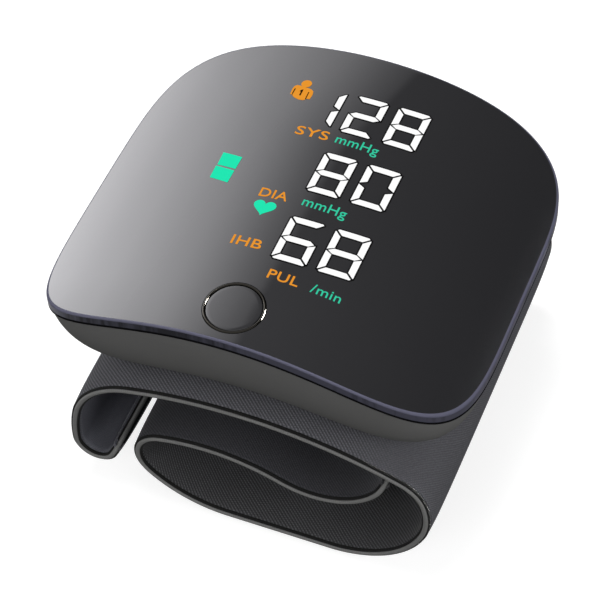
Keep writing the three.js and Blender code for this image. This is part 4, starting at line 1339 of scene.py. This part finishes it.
def binding_path(stretch, start, end, half_width):
    """Points of the strip's edge in its flat plane, with the direction towards the strip."""
    line, corner = CuffLine.shared(), 4 * MM
    if stretch == "bend":
        return [[(s, side * half_width, 0, -side) for s in line.lengths(start, end)] for side in (-1, 1)]
    free, joint, way = (start, end, 1) if stretch == "upper" else (end, start, -1)
    inner, middle = free + way * corner, half_width - corner
    edge = list(line.lengths(min(joint, inner), max(joint, inner)))
    if edge[0] == inner:
        edge.reverse()
    turn = [(math.sin(a), math.cos(a)) for a in np.linspace(0, math.pi / 2, 9)[1:-1]]
    return [[
        *((s, -half_width, 0, 1) for s in edge),
        *((inner - way * corner * a, -middle - corner * b, way * a, b) for a, b in turn),
        *((free, y, way, 0) for y in np.linspace(-middle, middle, 60)),
        *((inner - way * corner * b, middle + corner * a, way * b, -a) for a, b in turn),
        *((s, half_width, 0, -1) for s in reversed(edge)),
    ]]


def tape_section(cuff):
    """Section of the binding: distance in from the edge, offset, and place on the tape from 0 at the
    piping."""
    bead, lip, seat = cuff.piping, cuff.lip, cuff.edge_thickness - cuff.lip
    middle = bead + 0.14 * MM
    half = [(bead - bead * math.cos(a), bead * math.sin(a), 0.5 * a / math.radians(70))
            for a in np.radians(np.linspace(0, 70, 9))]
    half += [(middle - lip * math.cos(a), seat + lip * math.sin(a), 0.75 + 0.2 * a / math.pi)
             for a in np.radians(np.linspace(-20, 180, 11))]
    half.append((middle + lip, seat * 0.3, 1.0))
    return half + [(deep, -offset, place) for deep, offset, place in half[:0:-1]] + half[:1]


class MONITOR_OT_cuff_binding(bpy.types.Operator):
    """Makes the rounded edge binding of the cuff"""

    bl_idname = "monitor.cuff_binding"
    bl_label = "Cuff binding"

    def execute(self, context):
        cuff, line = context.scene.monitor_cuff, CuffLine.shared()
        section = tape_section(cuff)
        for stretch, body, start, end in strip_stretches():
            name, pieces = f"cuff_binding_{stretch}", []
            for path in binding_path(stretch, start, end, cuff.width / 2):
                rows, uv, run, before = [], [], 0.0, None
                for s, y, in_s, in_y in path:
                    here = Vector(line.point(s, y, 0))
                    run += (here - before).length if before else 0.0
                    before = here
                    rows.append([line.point(s + in_s * deep, y + in_y * deep, offset)
                                 for deep, offset, _ in section])
                    uv.append([(run / STRIP_LENGTH, place) for _, _, place in section])
                pieces.append(laid_grid(f"{name}_sewn_{len(pieces)}", rows, uv))
                close_up(pieces[-1])
            piece = joined(f"{name}_sewn", pieces)
            smooth(piece, 50)
            settle(piece, body, name, "tape", tape("edge binding", cuff.binding_colour))
        return {"FINISHED"}


class MONITOR_OT_hook_patch(bpy.types.Operator):
    """Makes the hook patch inside the left loop"""

    bl_idname = "monitor.hook_patch"
    bl_label = "Hook patch"

    def execute(self, context):
        across = across_strip((0.5, 0.62, 0.8, 1.3, 2.0, 3.2, 4.6, 6.4, 9.0), 19)
        top = padded_half(sheet_reach() - np.abs(across)) + 0.12 * MM
        top[[0, -1]] -= 0.1 * MM
        end = HOOKS_FROM + HOOKS_LENGTH
        piece = strip_piece("hook_patch_rows", HOOKS_FROM, end, across, -top, -top + 0.35 * MM)
        look = hooks("hook rows", context.scene.monitor_cuff.loop_colour)
        settle(piece, "monitor", "hook_patch", "hook", look)
        return {"FINISHED"}


class MONITOR_OT_bladder(bpy.types.Operator):
    """Makes the flat air bladder inside the cuff, with the nipple that passes into the case"""

    bl_idname = "monitor.bladder"
    bl_label = "Air bladder"

    def execute(self, context):
        line = CuffLine.shared()
        last = line.parts[-2][0]  # the tongue's last two bends hold no bladder
        across = np.linspace(-BLADDER_HALF, BLADDER_HALF, 29)
        puffed = (0.12 + 0.2 * (1 - (across / BLADDER_HALF) ** 4)) * MM
        film = moulded("coated film", srgb(70, 72, 74), 0.65)
        for stretch, body, start, end in strip_stretches(line.seat_length + BLADDER_FROM, last):
            piece = strip_piece(f"air_bladder_{stretch}_film", start, end, across, puffed, -puffed)
            if stretch == "upper":
                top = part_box("air_bladder_upper")[1].z
                nipple = cylinder(NIPPLE_X, NIPPLE_Y, line.seat_height, top, NIPPLE_RADIUS, 32)
                combine(piece, nipple, "UNION")
                smooth(piece, 40)
            settle(piece, body, f"air_bladder_{stretch}", "bladder", film)
        return {"FINISHED"}


class MONITOR_OT_screws(bpy.types.Operator):
    """Makes the four case screws with their cross-shaped sockets"""

    bl_idname = "monitor.screws"
    bl_label = "Case screws"

    def execute(self, context):
        for name in ("case_screw_1", "case_screw_2", "case_screw_3", "case_screw_4"):
            low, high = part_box(name)
            x, y = (at - math.copysign(inset, at) for at, inset in zip((low + high) / 2, SCREW_INSET))
            seat = low.z + SCREW_HEAD
            shank = cylinder(x, y, seat, high.z, SCREW_RADIUS, 32)
            screw = cylinder(x, y, low.z, seat, SCREW_HEAD_RADIUS, 48)
            screw.name = f"{name}_turned"
            bpy.ops.object.transform_apply(location=True, rotation=True, scale=True)
            combine(screw, shank, "UNION")
            for half_x, half_y in ((0.85 * MM, 0.2 * MM), (0.2 * MM, 0.85 * MM)):
                slot = block("slot", (x - half_x, y - half_y, low.z - MM),
                             (x + half_x, y + half_y, low.z + SCREW_SOCKET))
                combine(screw, slot, "DIFFERENCE")
            smooth(screw, 30)
            settle(screw, "monitor", name, "steel", moulded(*INNER_LOOKS["steel"]))
        return {"FINISHED"}


class MONITOR_OT_inside(bpy.types.Operator):
    """Gives the inner pieces, which keep their own solids, their finishes"""

    bl_idname = "monitor.inside"
    bl_label = "Inner pieces"

    def execute(self, context):
        looks = {slot: moulded(*look) for slot, look in INNER_LOOKS.items()}
        slots = {entry["node"]: entry["material_slot"] for entry in frame["record"]["subparts"]}
        for name, node in frame["nodes"].items():
            if not node.hide_render and slots.get(name) in looks:
                paint(node, looks[slots[name]])
        return {"FINISHED"}


OPERATORS = (
    MONITOR_OT_stage, MONITOR_OT_lens, MONITOR_OT_numerals, MONITOR_OT_labels, MONITOR_OT_signs,
    MONITOR_OT_button, MONITOR_OT_case, MONITOR_OT_cuff_cloth, MONITOR_OT_cuff_binding,
    MONITOR_OT_hook_patch, MONITOR_OT_bladder, MONITOR_OT_screws, MONITOR_OT_inside,
)


class MONITOR_PT_panel(bpy.types.Panel):
    """Lists the operators that make the monitor's pieces"""

    bl_idname = "MONITOR_PT_panel"
    bl_label = "Wrist monitor"
    bl_space_type = "VIEW_3D"
    bl_region_type = "UI"
    bl_category = "Monitor"

    def draw(self, context):
        for operator in OPERATORS:
            self.layout.operator(operator.bl_idname)


SETTINGS = {
    "monitor_unit": MonitorUnitSettings,
    "monitor_display": MonitorDisplaySettings,
    "monitor_cuff": MonitorCuffSettings,
    "monitor_finish": MonitorFinishSettings,
    "monitor_view": MonitorViewSettings,
}


def register():
    for kind in (*SETTINGS.values(), *OPERATORS, MONITOR_PT_panel):
        bpy.utils.register_class(kind)
    for name, kind in SETTINGS.items():
        setattr(bpy.types.Scene, name, PointerProperty(type=kind))


def unregister():
    for name in SETTINGS:
        delattr(bpy.types.Scene, name)
    for kind in reversed((*SETTINGS.values(), *OPERATORS, MONITOR_PT_panel)):
        bpy.utils.unregister_class(kind)


def main():
    """Makes every piece in order."""
    register()
    for operator in OPERATORS:
        group, name = operator.bl_idname.split(".")
        getattr(getattr(bpy.ops, group), name)()
    bpy.context.view_layer.update()


if __name__ == "__main__":
    main()
